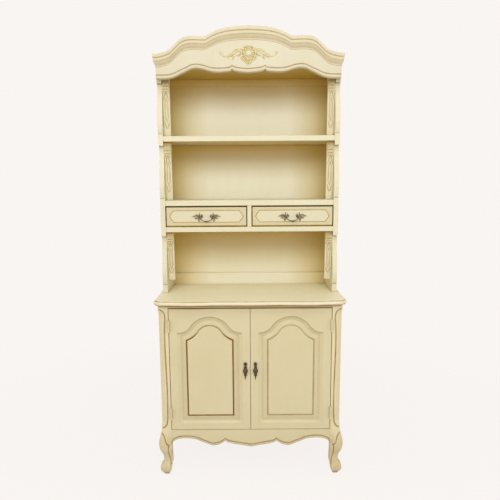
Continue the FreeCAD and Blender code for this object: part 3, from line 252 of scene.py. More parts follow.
def spline_through(points, count):
    """Smooth curve through points, in equal steps along its chords.

    Each coordinate is a natural cubic: its second derivatives solve the usual three-term
    equations, and between two points the curve is the cubic that has them at both ends.
    """
    points = np.asarray(points, float)
    chord = np.r_[0, np.cumsum(np.linalg.norm(np.diff(points, axis=0), axis=1))]
    gaps = np.diff(chord)
    inner = np.arange(1, len(points) - 1)
    matrix = np.eye(len(points))
    matrix[inner, inner - 1] = gaps[:-1]
    matrix[inner, inner] = 2 * (gaps[:-1] + gaps[1:])
    matrix[inner, inner + 1] = gaps[1:]
    right = np.zeros_like(points)
    right[inner] = 6 * np.diff(np.diff(points, axis=0) / gaps[:, None], axis=0)
    bend = np.linalg.solve(matrix, right)
    at = np.linspace(0, chord[-1], count)
    place = np.clip(np.searchsorted(chord, at, side="right") - 1, 0, len(points) - 2)
    step = gaps[place][:, None]
    low = (chord[place + 1] - at)[:, None] / step
    high = 1 - low
    straight = low * points[place] + high * points[place + 1]
    return straight + ((low ** 3 - low) * bend[place] + (high ** 3 - high) * bend[place + 1]) * step ** 2 / 6


def scroll(centre, start, turns, first, last, count):
    """A spiral path: the reach from the centre changes evenly as it turns."""
    turn = start + np.linspace(0, turns * 2 * math.pi, count)
    reach = np.linspace(first, last, count)
    return np.stack([centre[0] + reach * np.cos(turn), centre[1] + reach * np.sin(turn)], axis=1)


def full_turn(count):
    """Even angles once round."""
    return np.linspace(0, 2 * math.pi, count, endpoint=False)


def ramp(value, start, end):
    """Nothing up to a start, one from an end on, and even in between."""
    return np.clip((value - start) / (end - start), 0, 1)


def bell(value, middle, width):
    """One at a middle, falling off alike on both sides over a width."""
    return np.exp(-((value - middle) / width) ** 2)


def height_along(shares, half, rise, foot, across):
    """Height of a scalloped edge over each place across, the same on both sides."""
    outer, middle = shares
    curve = np.vstack([spline_through(outer, 200), spline_through(middle, 80)[1:]])[::-1]
    return foot + rise * np.interp(np.abs(across) / half, curve[:, 0], curve[:, 1])


def places_across(reach, marks, steps=421):
    """Even steps across the cabinet out to a reach on both sides, with the marks among them."""
    marks = np.asarray(marks)
    return np.unique(np.r_[np.linspace(-reach, reach, steps), -marks, marks])


def distance_to(path, points):
    """Shortest distance from each point to a line of straight stretches."""
    start = path[:-1]
    along = path[1:] - start
    offset = points[..., None, :] - start
    share = np.clip((offset * along).sum(-1) / (along ** 2).sum(-1), 0, 1)
    gap = offset - share[..., None] * along
    return np.sqrt((gap ** 2).sum(-1)).min(-1)


def grown(outline, reach):
    """A closed outline moved out square to itself by a reach."""
    along = np.roll(outline, -1, axis=0) - outline
    along /= np.linalg.norm(along, axis=1)[:, None]
    square = np.stack([along[:, 1], -along[:, 0]], axis=1)
    mean = square + np.roll(square, 1, axis=0)
    mean /= (mean * square).sum(1)[:, None]
    return outline + mean * reach


def joined(*parts):
    """Coordinates that may be single values, put together as places."""
    return np.stack(np.broadcast_arrays(*parts), axis=-1)


# Surfaces


def place_object(name, data):
    """A new object in the scene."""
    made = bpy.data.objects.new(name, data)
    bpy.context.scene.collection.objects.link(made)
    return made


def material_named(name):
    """A finish made by the first operator."""
    found = bpy.data.materials.get(name)
    if found is None:
        raise RuntimeError("the finishes have to be made first: " + name)
    return found


class Surfaces:
    """Points, faces and glaze of one piece, gathered from several closed surfaces."""

    def __init__(self):
        self.points = []
        self.faces = []
        self.glaze = []
        self.count = 0

    def add(self, grid, glaze=0.0, closed=False):
        """A grid whose columns join round; its rows join too if closed, or else both ends are capped."""
        rows, columns = grid.shape[:2]
        corner = self.count + np.arange(rows * columns).reshape(rows, columns)
        beside = np.roll(corner, -1, axis=1)
        faces = np.stack([corner, beside, np.roll(beside, -1, axis=0), np.roll(corner, -1, axis=0)], axis=-1)
        if closed:
            self.faces += faces.reshape(-1, 4).tolist()
        else:
            self.faces += faces[:-1].reshape(-1, 4).tolist() + corner[[0, -1]].tolist()
        self.points.append(grid.reshape(-1, 3))
        self.glaze.append(np.broadcast_to(glaze, (rows, columns)).reshape(-1))
        self.count += rows * columns
        return self

    def add_raised(self, plane, grid, glaze=0.0, closed=False):
        """A grid of (across, out, up) places that stands on a plane facing the front."""
        self.add(joined(grid[..., 0], plane - grid[..., 1], grid[..., 2]), glaze, closed)

    def add_stroke(self, plane, path, width, height, vein=0.0, count=24):
        """A raised stroke through points in millimetres; one with a vein is a leaf with fine ends.

        Half width of a leaf = width * sin(pi * share ** fullness), and its height follows its width.
        """
        fullness = 0.7
        finest = 0.04
        follow = 0.6
        line = spline_through(np.asarray(path, float) * MM, count)
        leaf = np.clip(np.sin(math.pi * np.linspace(0, 1, count) ** fullness), finest, 1)
        taper = leaf if vein else np.ones(count)
        grid, glaze = relief(line, width * MM * taper, height * MM * taper ** follow, vein)
        self.add_raised(plane, grid, glaze)

    def mirror(self):
        """The same surfaces again on the other side of the cabinet."""
        twin = [points * np.array([-1.0, 1.0, 1.0]) for points in self.points]
        faces = [[corner + self.count for corner in reversed(face)] for face in self.faces]
        self.points += twin
        self.faces += faces
        self.glaze += self.glaze
        self.count *= 2

    def piece(self, name, body, finish, replaces=(), slot="cream_paint", sharp=35):
        """Make the object, with faces outward, and let it ride its body."""
        mesh = bpy.data.meshes.new(name)
        mesh.from_pydata(np.vstack(self.points).tolist(), [], self.faces)
        # the glaze holds the scored lines and glaze of each piece, and the painted shade that some pieces lay
        # in it
        layer = mesh.attributes.new("glaze", "FLOAT", "POINT")
        layer.data.foreach_set("value", np.concatenate(self.glaze).astype(np.float32))
        nearest = 0.001 * MM
        work = bmesh.new()
        work.from_mesh(mesh)
        bmesh.ops.remove_doubles(work, verts=work.verts, dist=nearest)
        bmesh.ops.dissolve_degenerate(work, edges=work.edges, dist=nearest)
        bmesh.ops.recalc_face_normals(work, faces=work.faces)
        work.to_mesh(mesh)
        work.free()
        mesh.shade_smooth()
        mesh.set_sharp_from_angle(angle=math.radians(sharp))
        mesh.materials.append(material_named(finish))
        made = place_object(name, mesh)
        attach(made, body)
        if replaces:
            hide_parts(*replaces)


def relief(path, half_width, height, vein=0.0, sides=12):
    """Raised bar along a flat path: half an ellipse across, flat behind, with a groove along its middle.

    Place = path + side * half width * cos(turn), out by height * sin(turn) * (1 - vein at the middle).
    """
    vein_width = 0.28
    along = np.gradient(path, axis=0)
    along /= np.linalg.norm(along, axis=1)[:, None] + 1e-12
    turn = np.linspace(0, math.pi, sides + 1)
    across = np.cos(turn) * np.reshape(half_width, (-1, 1))
    groove = 1 - vein * bell(np.cos(turn), 0, vein_width)
    out = np.sin(turn) * groove * np.reshape(height, (-1, 1))
    x = path[:, 0:1] - along[:, 1:2] * across
    z = path[:, 1:2] + along[:, 0:1] * across
    return joined(x, out, z), np.clip(1.25 - 1.6 * np.sin(turn) * groove, 0, 1)


def turned(middle, out, half_across, half_up, columns):
    """Oval rings about a middle in millimetres, each at its own distance out and of its own size."""
    turn = full_turn(columns)
    return joined(middle[0] + half_across * np.cos(turn), out, middle[1] + half_up * np.sin(turn)) * MM


def dome(middle, half_across, half_up, height, rows=10, columns=28):
    """Oval boss in millimetres: each ring is smaller and higher, like half an egg, closed flat behind."""
    last_ring = 0.001
    rise = np.linspace(0, math.pi / 2, rows)[:, None]
    size = np.cos(rise) + last_ring
    grid = turned(middle, height * np.sin(rise), half_across * size, half_up * size, columns)
    return grid, np.clip(1.1 - 2.2 * np.sin(rise), 0, 1)


def tube(path, radius, sides):
    """Round bar along a path in space, each ring square to the path."""
    along = np.gradient(path, axis=0)
    along /= np.linalg.norm(along, axis=1)[:, None]
    first = np.cross(along, (0.0, 1.0, 0.0))
    first /= np.linalg.norm(first, axis=1)[:, None] + 1e-12
    second = np.cross(along, first)
    turn = full_turn(sides)[None, :, None]
    ring = first[:, None] * np.cos(turn) + second[:, None] * np.sin(turn)
    return path[:, None] + ring * radius[:, None, None]


def glaze_of(steps):
    """The glaze, which stands last in each step of a profile, as a column."""
    return np.array([step[-1] for step in steps])[:, None]


def along_front(across, face, steps):
    """A board along the front, closed round: each step of its profile is (out, height, glaze)."""
    grid = np.stack([joined(across, face - out, up) for out, up, glaze in steps], axis=1)
    return Surfaces().add(grid, glaze_of(steps).T)


# Materials


class Nodes:
    """Adds nodes to the emptied tree of a group, a material or a world, and links their inputs."""

    def __init__(self, tree):
        tree.nodes.clear()
        self.tree = tree

    def add(self, kind, inputs=None, **settings):
        """One shader node, its settings, and its inputs as values or as links."""
        node = self.tree.nodes.new("ShaderNode" + kind)
        for name, value in settings.items():
            setattr(node, name, value)
        for key, value in (inputs or {}).items():
            if isinstance(value, bpy.types.NodeSocket):
                self.tree.links.new(value, node.inputs[key])
            else:
                node.inputs[key].default_value = value
        return node

    def maths(self, operation, first, second=0.0, clamp=False):
        """One operation on two values."""
        return self.add("Math", {0: first, 1: second}, operation=operation, use_clamp=clamp).outputs[0]

    def times(self, first, second, clamp=False):
        """One value times another."""
        return self.maths("MULTIPLY", first, second, clamp)

    def plus(self, first, second, clamp=False):
        """One value and another."""
        return self.maths("ADD", first, second, clamp)

    def mix(self, share, first, second):
        """Two colours mixed by a share."""
        return self.add("Mix", {0: share, 6: first, 7: second}, data_type="RGBA").outputs[2]

    def spread(self, value, low, high, to_low=0.0, to_high=1.0):
        """A value stretched from one range to another, held at its ends."""
        inputs = {"Value": value, "From Min": low, "From Max": high, "To Min": to_low, "To Max": to_high}
        return self.add("MapRange", inputs).outputs[0]

    def noise(self, vector, scale, detail=3.0, roughness=0.55):
        """Cloudy noise over places."""
        inputs = {"Vector": vector, "Scale": scale, "Detail": detail, "Roughness": roughness}
        return self.add("TexNoise", inputs).outputs[0]

    def place(self):
        """Places in the object's own measure."""
        return self.add("TexCoord").outputs["Object"]

    def stretched(self, scale):
        """The same places, drawn out by a scale for each direction."""
        return self.add("Mapping", {"Vector": self.place(), "Scale": scale}).outputs[0]

    def split(self, vector):
        """The X, Y and Z of a vector."""
        return self.add("SeparateXYZ", {0: vector}).outputs

    def glaze(self):
        """The glaze that each piece carries on its points, with the painted shade laid in it."""
        return self.add("Attribute", attribute_name="glaze").outputs["Fac"]

    def shared(self, label, **values):
        """The results of a shared group."""
        return self.add("Group", values, node_tree=bpy.data.node_groups[label]).outputs

    def seen(self):
        """One for rays from the camera, from a mirror or through glass, nothing for light on things."""
        rays = self.add("LightPath").outputs
        direct = self.plus(rays["Is Camera Ray"], rays["Is Glossy Ray"], clamp=True)
        return self.plus(direct, rays["Is Transmission Ray"], clamp=True)

    def end_mixed(self, output, share, lit, plain):
        """End the tree in two shaders mixed by a share."""
        mixed = self.add("MixShader", {0: share, 1: lit.outputs[0], 2: plain.outputs[0]})
        self.add(output, {0: mixed.outputs[0]})

    def end_finish(self, tint, rough, height, strength, distance, own=None):
        """End the tree in colour, roughness, bump and values that are the same all over."""
        bump = self.add("Bump", {"Height": height, "Strength": strength, "Distance": distance * MM})
        inputs = {"Base Color": tint, "Roughness": rough, "Normal": bump.outputs[0], **(own or {})}
        self.add("OutputMaterial", {0: self.add("BsdfPrincipled", inputs).outputs[0]})


def edge_wear(nodes, given):
    """Mask of rubbed edges: where the rounded normal leaves the true one, broken up by noise."""
    rounded = nodes.add("Bevel", {"Radius": given["Radius"]}, samples=4).outputs[0]
    true = nodes.add("NewGeometry").outputs["Normal"]
    facing = nodes.add("VectorMath", {0: rounded, 1: true}, operation="DOT_PRODUCT").outputs["Value"]
    edge = nodes.spread(facing, 0.995, 0.86)
    patch = nodes.spread(nodes.noise(nodes.place(), given["Patch"], 5.0, 0.7), 0.42, 0.68)
    return {"Mask": nodes.times(nodes.times(edge, patch), given["Amount"])}


def crevice_glaze_and_shade(nodes, given):
    """Mask of inner corners and narrow places: glaze and dust that settle there, and painted shade."""
    open_share = nodes.add("AmbientOcclusion", {"Distance": given["Reach"]}, samples=6).outputs["AO"]
    return {"Mask": nodes.times(nodes.spread(open_share, 0.85, 0.25), given["Strength"], clamp=True)}


def brushed_paint(nodes, given):
    """Brush marks and mottling of hand-laid paint: long streaks, soft clouds and fine specks."""
    long = nodes.stretched((1.0, 1.0, 0.06))
    return {
        "Streaks": nodes.noise(long, given["Streak"], 4.0, 0.6),
        "Clouds": nodes.noise(nodes.place(), given["Cloud"], 4.0, 0.6),
        "Specks": nodes.noise(nodes.place(), 420.0, 2.0, 0.6),
    }


def wood_grain(nodes, given):
    """Straight wood grain: noise stretched along the boards, with fine pores."""
    long = nodes.stretched((0.07, 0.5, 1.0))
    wave = {"Vector": long, "Scale": 9.0, "Distortion": 7.0, "Detail": 3.0}
    rings = nodes.add("TexWave", wave, bands_direction="Z").outputs[1]
    bend = nodes.noise(long, given["Scale"], 5.0, 0.6)
    return {
        "Figure": nodes.times(bend, nodes.spread(rings, 0.0, 1.0, 0.6, 1.0)),
        "Pores": nodes.noise(long, 700.0, 2.0, 0.7),
    }


def make_group(name, work_out, numbers):
    """A shared node group: its number inputs, and the masks that a function works out from them."""
    group = bpy.data.node_groups.new(name, "ShaderNodeTree")
    for label, default in numbers.items():
        socket = group.interface.new_socket(label, in_out="INPUT", socket_type="NodeSocketFloat")
        socket.default_value = default
    nodes = Nodes(group)
    masks = work_out(nodes, group.nodes.new("NodeGroupInput").outputs)
    for label in masks:
        group.interface.new_socket(label, in_out="OUTPUT", socket_type="NodeSocketFloat")
    results = group.nodes.new("NodeGroupOutput").inputs
    for label, mask in masks.items():
        group.links.new(mask, results[label])


def new_finish(name):
    """The empty node tree of a new material."""
    material = bpy.data.materials.new(name)
    material.use_nodes = True
    return Nodes(material.node_tree)


def darker(base, *shares):
    """A colour with each channel brought down to a share of it."""
    return (*(channel * share for channel, share in zip(base, shares)), 1.0)


def shade_back(nodes, cream, shade):
    """The warm shading of the back panels over their cream: along the sides, then under each board."""
    finish = bpy.context.scene.hutch_finish
    sizes = bpy.context.scene.hutch_sizes
    place = nodes.split(nodes.place())
    edge = high_of("hutch_back_panel").x
    beside = nodes.spread(nodes.maths("ABSOLUTE", place["X"]), edge - sizes.side_shade, edge)
    aside = nodes.times(nodes.maths("POWER", beside, 1.1), 0.8)
    mask = 0.0
    for board, further in (("hutch_top_board", 1.0), ("hutch_shelf", 1.0), ("drawer_deck_lower", 1.5)):
        under = low_of(board).z
        rising = nodes.spread(place["Z"], under - sizes.board_shade * further, under)
        below = nodes.maths("LESS_THAN", place["Z"], under)
        mask = nodes.plus(mask, nodes.times(nodes.maths("POWER", rising, 1.55), below))
    cream = nodes.mix(nodes.times(aside, shade), cream, finish.side_shade)
    return nodes.mix(nodes.times(mask, shade), cream, finish.board_shade)


def cream_paint(name, base, line, corner_glaze_and_shade=1.0, shade=0.0, underside_shade=0.0, bare_rear=False, foot=None):
    """Hand-glazed cream paint: mottled cream, brown in the recesses, rubbed edges, fine brush marks.

    The corner glaze is how strongly glaze and painted shade settle in corners, shade the painted warm
    shading of the back panels, and the downward shade the painted brown shade on faces that look down.
    Bare_rear leaves faces that look backward in plain wood, and foot is the height of a lower edge with a
    painted shadow line along it.
    """
    foot_shadow_line = 2.5 * MM
    foot_shadow_fade = 1.5 * MM
    foot_shadow_strength = 0.8
    finish = bpy.context.scene.hutch_finish
    nodes = new_finish(name)
    brushed = nodes.shared("Brushed paint")
    # the crevice mask lays glaze and painted shade in inner corners and narrow gaps
    settled_glaze_and_shade = nodes.shared("Crevice glaze and shade", Reach=0.014, Strength=0.75 * corner_glaze_and_shade)["Mask"]
    rubbed = nodes.shared("Edge wear", Amount=finish.wear)["Mask"]
    facing = nodes.split(nodes.add("NewGeometry").outputs["Normal"])
    drawn = nodes.glaze()
    broken = nodes.spread(nodes.noise(nodes.place(), 30.0), 0.25, 0.6, 0.72, 1.0)
    cloud = nodes.spread(brushed["Clouds"], 0.35, 0.7, 0.0, 0.5)
    streak = nodes.spread(brushed["Streaks"], 0.4, 0.75, 0.0, 0.16)
    tint = nodes.mix(nodes.plus(cloud, streak), base, darker(base, 0.93, 0.9, 0.82))
    if shade:
        tint = shade_back(nodes, tint, shade)
    # faces that look down take the painted brown shade
    if underside_shade:
        tint = nodes.mix(nodes.spread(facing["Z"], -0.4, -0.9, 0.0, underside_shade), tint, finish.ceiling)
    # a painted shadow line along the lower edge, where the rail meets the door tops
    if foot is not None:
        above = nodes.maths("SUBTRACT", nodes.split(nodes.place())["Z"], foot)
        low = nodes.spread(above, foot_shadow_line + foot_shadow_fade, foot_shadow_line, 0.0, foot_shadow_strength)
        tint = nodes.mix(low, tint, finish.glaze)
    if bare_rear:
        wood = nodes.mix(streak, finish.drawer_wood, finish.drawer_grain)
        tint = nodes.mix(nodes.spread(facing["Y"], 0.4, 0.9), tint, wood)
    tint = nodes.mix(rubbed, tint, finish.worn)
    tint = nodes.mix(nodes.times(settled_glaze_and_shade, 0.7), tint, finish.glaze)
    # glaze above one mixes toward the deep line as painted shadow
    tint = nodes.mix(nodes.times(drawn, broken, clamp=True), tint, line)
    tint = nodes.mix(nodes.maths("SUBTRACT", drawn, 1.0, clamp=True), tint, finish.deep_line_and_shadow)
    rough = nodes.plus(nodes.spread(brushed["Clouds"], 0.3, 0.7, 0.36, 0.5), nodes.times(drawn, 0.1))
    height = nodes.plus(brushed["Streaks"], nodes.times(brushed["Specks"], 0.3))
    nodes.end_finish(tint, rough, height, 0.14, 0.5, {"Specular IOR Level": 0.22})


def gilt_paint():
    """Gold paint over cream: gold on the high parts, brown in the hollows, speckled."""
    finish = bpy.context.scene.hutch_finish
    nodes = new_finish("Gilt ornament")
    brushed = nodes.shared("Brushed paint", Cloud=60.0)
    pale = nodes.mix(0.7, finish.gilt, finish.hutch_cream)
    gold = nodes.mix(nodes.spread(brushed["Clouds"], 0.36, 0.58), finish.gilt, pale)
    # the hollows of the ornament take glaze and painted shade
    dirt_and_shade = nodes.shared("Crevice glaze and shade", Reach=0.006, Strength=0.9)["Mask"]
    tint = nodes.mix(nodes.maths("MAXIMUM", nodes.times(nodes.glaze(), 0.85), dirt_and_shade), gold, finish.gilt_shade)
    rough = nodes.spread(brushed["Specks"], 0.3, 0.7, 0.34, 0.52)
    nodes.end_finish(tint, rough, brushed["Specks"], 0.3, 0.4, {"Metallic": 0.1})


def antique_metal(name, base):
    """Dark cast metal: near black in the hollows, rubbed brighter on the high parts, pitted."""
    nodes = new_finish(name)
    brushed = nodes.shared("Brushed paint", Cloud=80.0)
    dark = darker(base, 0.35, 0.33, 0.32)
    body = nodes.mix(nodes.spread(brushed["Clouds"], 0.3, 0.55), dark, base)
    rubbed = nodes.shared("Edge wear", Radius=0.0012, Amount=0.8, Patch=120.0)["Mask"]
    high = nodes.mix(rubbed, body, bpy.context.scene.hutch_finish.metal_bright)
    tint = nodes.mix(nodes.shared("Crevice glaze and shade", Reach=0.004)["Mask"], high, dark)
    rough = nodes.spread(brushed["Specks"], 0.3, 0.7, 0.32, 0.55)
    nodes.end_finish(tint, rough, brushed["Specks"], 0.25, 0.3, {"Metallic": 0.85})


def bare_wood():
    """Unpainted wood inside: warm straight grain with pores."""
    finish = bpy.context.scene.hutch_finish
    nodes = new_finish("Bare wood")
    grain = nodes.shared("Wood grain")
    wood = nodes.mix(nodes.spread(grain["Figure"], 0.2, 0.55), finish.drawer_wood, finish.drawer_grain)
    wood = nodes.mix(nodes.spread(grain["Pores"], 0.62, 0.7, 0.0, 0.5), wood, finish.drawer_grain)
    # inner corners of the bare wood are darkened with grime and painted shade
    dirt_and_shade = nodes.shared("Crevice glaze and shade", Reach=0.02, Strength=0.6)["Mask"]
    tint = nodes.mix(nodes.times(dirt_and_shade, 0.5), wood, finish.glaze)
    nodes.end_finish(tint, nodes.spread(grain["Pores"], 0.2, 0.8, 0.5, 0.68), grain["Pores"], 0.2, 0.4)


def small_part(name, base, metallic, least_rough):
    """Plain hardware finish with fine scratches and a little grime and painted shade in its corners."""
    nodes = new_finish(name)
    brushed = nodes.shared("Brushed paint", Streak=300.0, Cloud=40.0)
    clean = nodes.mix(nodes.spread(brushed["Clouds"], 0.4, 0.7), base, darker(base, 0.7, 0.68, 0.64))
    dirt_and_shade = nodes.shared("Crevice glaze and shade", Reach=0.005)["Mask"]
    tint = nodes.mix(nodes.times(dirt_and_shade, 0.5), clean, bpy.context.scene.hutch_finish.glaze)
    rough = nodes.spread(brushed["Streaks"], 0.3, 0.7, least_rough, least_rough + 0.2)
    nodes.end_finish(tint, rough, brushed["Streaks"], 0.15, 0.3, {"Metallic": metallic})


# Operators, one for each piece or group of like pieces


class HutchOperator:
    """What the operators share."""

    bl_options = {"REGISTER", "UNDO"}


class HUTCH_OT_finishes(HutchOperator, bpy.types.Operator):
    """Make the paint, gilt, metal and wood finishes"""

    bl_idname = "hutch.finishes"
    bl_label = "Finishes"

    def execute(self, context):
        finish = bpy.context.scene.hutch_finish
        make_group("Edge wear", edge_wear, {"Radius": 0.0015, "Amount": 0.3, "Patch": 14.0})
        make_group("Crevice glaze and shade", crevice_glaze_and_shade, {"Reach": 0.012, "Strength": 1.0})
        make_group("Brushed paint", brushed_paint, {"Streak": 90.0, "Cloud": 3.5})
        make_group("Wood grain", wood_grain, {"Scale": 26.0})
        # the boards of the hutch take painted shade on faces that look down
        cream_paint("Hutch paint", finish.hutch_cream, finish.hutch_line_and_shade, underside_shade=0.55)
        # the cornice takes a duller cream as painted shade
        cream_paint("Shaded cornice paint", finish.cornice_shaded_cream, finish.hutch_line_and_shade, 0.8)
        cream_paint("Cornice moulding paint", finish.crown_cream, finish.hutch_line_and_shade, 0.8)
        cream_paint("Drawer paint", finish.drawer_cream, finish.drawer_line)
        cream_paint("Base paint", finish.base_cream, finish.base_line_and_shade, 1.25)
        # the legs and posts take a paler cream as painted light on their canted faces
        cream_paint("Lit post paint", finish.post_lit_cream, finish.base_line_and_shade)
        # the base top takes a paler cream as painted light
        cream_paint("Lit top paint", finish.top_lit_cream, finish.base_line_and_shade)
        # the back panels take a brightened cream as painted light, with painted shade under the boards and
        # beside the sides
        cream_paint("Back paint", finish.back_lit_cream, finish.hutch_line_and_shade, 0.35, 0.95, bare_rear=True)
        # the board over the hutch takes full painted shade on its lower face
        cream_paint("Shaded ceiling paint", finish.hutch_cream, finish.hutch_line_and_shade, underside_shade=1.0)
        # the rail takes a browner cream as painted shade under the nose, and a painted shadow line along its
        # foot
        cream_paint("Shaded rail paint", finish.rail_shaded_cream, finish.base_line_and_shade, foot=low_of("base_front_rail").z)
        # the corbels take glaze in their carving and painted shade at their heads
        cream_paint("Corbel paint", finish.corbel_cream, finish.corbel_glaze_and_shade, 0.8)
        gilt_paint()
        antique_metal("Antique metal", finish.metal)
        antique_metal("Plate metal", finish.plate_metal)
        bare_wood()
        small_part("Catch plastic", finish.catch_plastic, metallic=0.0, least_rough=0.4)
        small_part("Strike steel", finish.strike_steel, metallic=1.0, least_rough=0.25)
        return {"FINISHED"}


def both(*names):
    """Each name for the left side and for the right, where a star stands for the side."""
    return [name.replace("*", word) for name in names for word in ("left", "right")]


CAD_FINISHES = {
    "Base paint": ["rear_legs", "hinge_case_leaves"] + both(
        "base_side_*", "hinge_door_leaves_*", "door_*_hinge_stile", "door_*_lock_stile",
        "door_*_bottom_rail", "door_*_top_rail"),
    "Hutch paint": [
        "hutch_shelf", "drawer_deck_upper", "drawer_deck_lower", "drawer_divider", *both("hutch_side_*")],
    "Shaded cornice paint": ["cornice_sides"],
    "Shaded rail paint": ["base_front_rail"],
    "Shaded ceiling paint": ["hutch_top_board"],
    "Back paint": ["hutch_back_panel", "hutch_back_rails", "base_back_panel"],
    "Bare wood": ["base_bottom", "base_shelf", "shelf_cleats"] + both(
        "drawer_*_sides", "drawer_*_back", "drawer_*_bottom"),
    "Catch plastic": ["door_catch"],
    "Strike steel": both("strike_plate_*"),
}


class HUTCH_OT_boards(HutchOperator, bpy.types.Operator):
    """Paint the straight boards that stay as they are in the frame"""

    bl_idname = "hutch.boards"
    bl_label = "Boards"

    def execute(self, context):
        for finish, names in CAD_FINISHES.items():
            for name in names:
                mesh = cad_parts[name].data
                mesh.materials.clear()
                mesh.materials.append(material_named(finish))
        return {"FINISHED"}


def top_outline():
    """Outline of the base top: serpentine front with cut corners, then the sides and the rear."""
    low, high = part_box("base_top")
    half = high.x
    bow = 12 * MM
    cut = 34 * MM
    front = [(half - cut * along, low.y + bow + cut * over) for along, over in TOP_CORNER_SHARES]
    front += [(half * across, low.y + bow * (1 - out)) for across, out in TOP_FRONT_SHARES]
    curve = spline_through(front, 150)
    side = np.linspace(curve[0], (half, high.y), 40)[1:]
    rear = np.linspace((-half, high.y), (half, high.y), 60)[1:-1]
    return np.vstack([curve, (curve[::-1] * MIRROR)[1:], side * MIRROR, rear, side[::-1]])[::-1]


class HUTCH_OT_base_top(HutchOperator, bpy.types.Operator):
    """Serpentine base top with its moulded nose and scored line"""

    bl_idname = "hutch.base_top"
    bl_label = "Base top"

    def execute(self, context):
        # from the lower face round the nose to the upper face: drawn in, height, glaze;
        # the glaze under the nose is painted shadow and the light glaze down its front painted shade,
        # while the peak near the upper face is the scored line
        nose = [
            (8.5, 0.0, 1.0), (8.0, 0.6, 1.2), (6.4, 2.4, 1.1), (3.4, 4.6, 0.4), (1.2, 7.0, 0.22),
            (0.2, 10.0, 0.18), (0.0, 13.0, 0.14), (0.6, 16.0, 0.14), (2.0, 18.4, 0.2), (3.8, 19.8, 0.5),
            (5.2, 20.2, 1.0), (5.9, 20.8, 0.9), (6.0, 22.4, 0.3), (6.6, 23.5, 0.1), (8.0, 24.0, 0),
            (9.5, 24.0, 0),
        ]
        outline = top_outline()
        grid = np.stack([
            joined(*grown(outline, -drawn * MM).T, POST_HEAD + up * MM) for drawn, up, glaze in nose])
        Surfaces().add(grid, glaze_of(nose)).piece("base_top_moulded", "case", "Lit top paint", ["base_top"])
        return {"FINISHED"}


def round_square(half, corner):
    """Rings of a square with round corners about the origin, one row for each half width and corner."""
    flat = np.linspace(-1, 1, 45)[None, :]
    turn = np.linspace(0, math.pi / 2, 10)[1:-1][None, :]
    core = (half - corner)[:, None]
    corner = corner[:, None]
    x = np.hstack([half[:, None] + 0 * flat, core + corner * np.cos(turn)])
    y = np.hstack([core * flat, core + corner * np.sin(turn)])
    return joined(np.hstack([x, -y, -x, y]), np.hstack([y, x, -y, -x]))


def groove_lines():
    """Scored lines of a leg: points (in from the outer face, height) on post, knee, ankle and toe."""
    post = [
        (6, 792), (14, 788), (23, 781), (29, 770), (31, 756), (30, 730), (29.5, 500), (29.5, 280), (28, 262),
        (23, 246), (15, 236), (6, 231),
    ]
    knee = [(1, 205), (8, 196), (15, 180), (21, 160), (28, 150), (33, 147)]
    ankle = [(33, 147), (29.5, 139), (29, 122), (29.5, 104), (33, 84), (37, 64), (38, 52)]
    whorl = scroll((16, 27), start=0.4 * math.pi, turns=1.85, first=14, last=3, count=60)
    lines = [spline_through(points, 90) for points in (post, knee, ankle)]
    return [line * MM for line in (*lines, whorl)]


def joined_to_rails(ring, half, middle, up):
    """Leg rings whose two inner corners are drawn square and flush, where the apron and the side meet them.

    The knee stands proud of the rails by its bulge, half less middle. Toward each rail that bulge fades
    along a smooth step, so the surface runs into the rail's face with no ledge.
    """
    sharp_corner = 0.8 * MM
    join_foot = 118 * MM
    join_whole = 152 * MM
    fade = 26 * MM
    crisp = round_square(half, np.full_like(half, sharp_corner))
    share = ramp(up, join_foot, join_whole)[:, None]
    bulge = (half - middle)[:, None]
    for near, far in ((0, 1), (1, 0)):
        inner = (ring[..., near] > 0) & (ring[..., far] < 0)
        ring = np.where(inner[..., None], ring + (crisp - ring) * share[..., None], ring)
        toward = ramp(half[:, None] - ring[..., near], 0, fade)
        limit = -middle[:, None] - bulge * toward * toward * (3 - 2 * toward)
        held = np.where(inner, np.maximum(ring[..., far], limit), ring[..., far])
        ring[..., far] += (held - ring[..., far]) * share
    return ring


def leg_heights():
    """Heights of the rings of a leg, closer together where it is carved."""
    cant_begun = LEG + 42 * MM
    cant_ending = 745 * MM
    marks = (0, LEG, cant_begun, cant_ending, POST_HEAD)
    counts = (125, 22, 60, 34)
    return np.unique(np.concatenate([
        np.linspace(first, last, count) for first, last, count in zip(marks, marks[1:], counts)]))


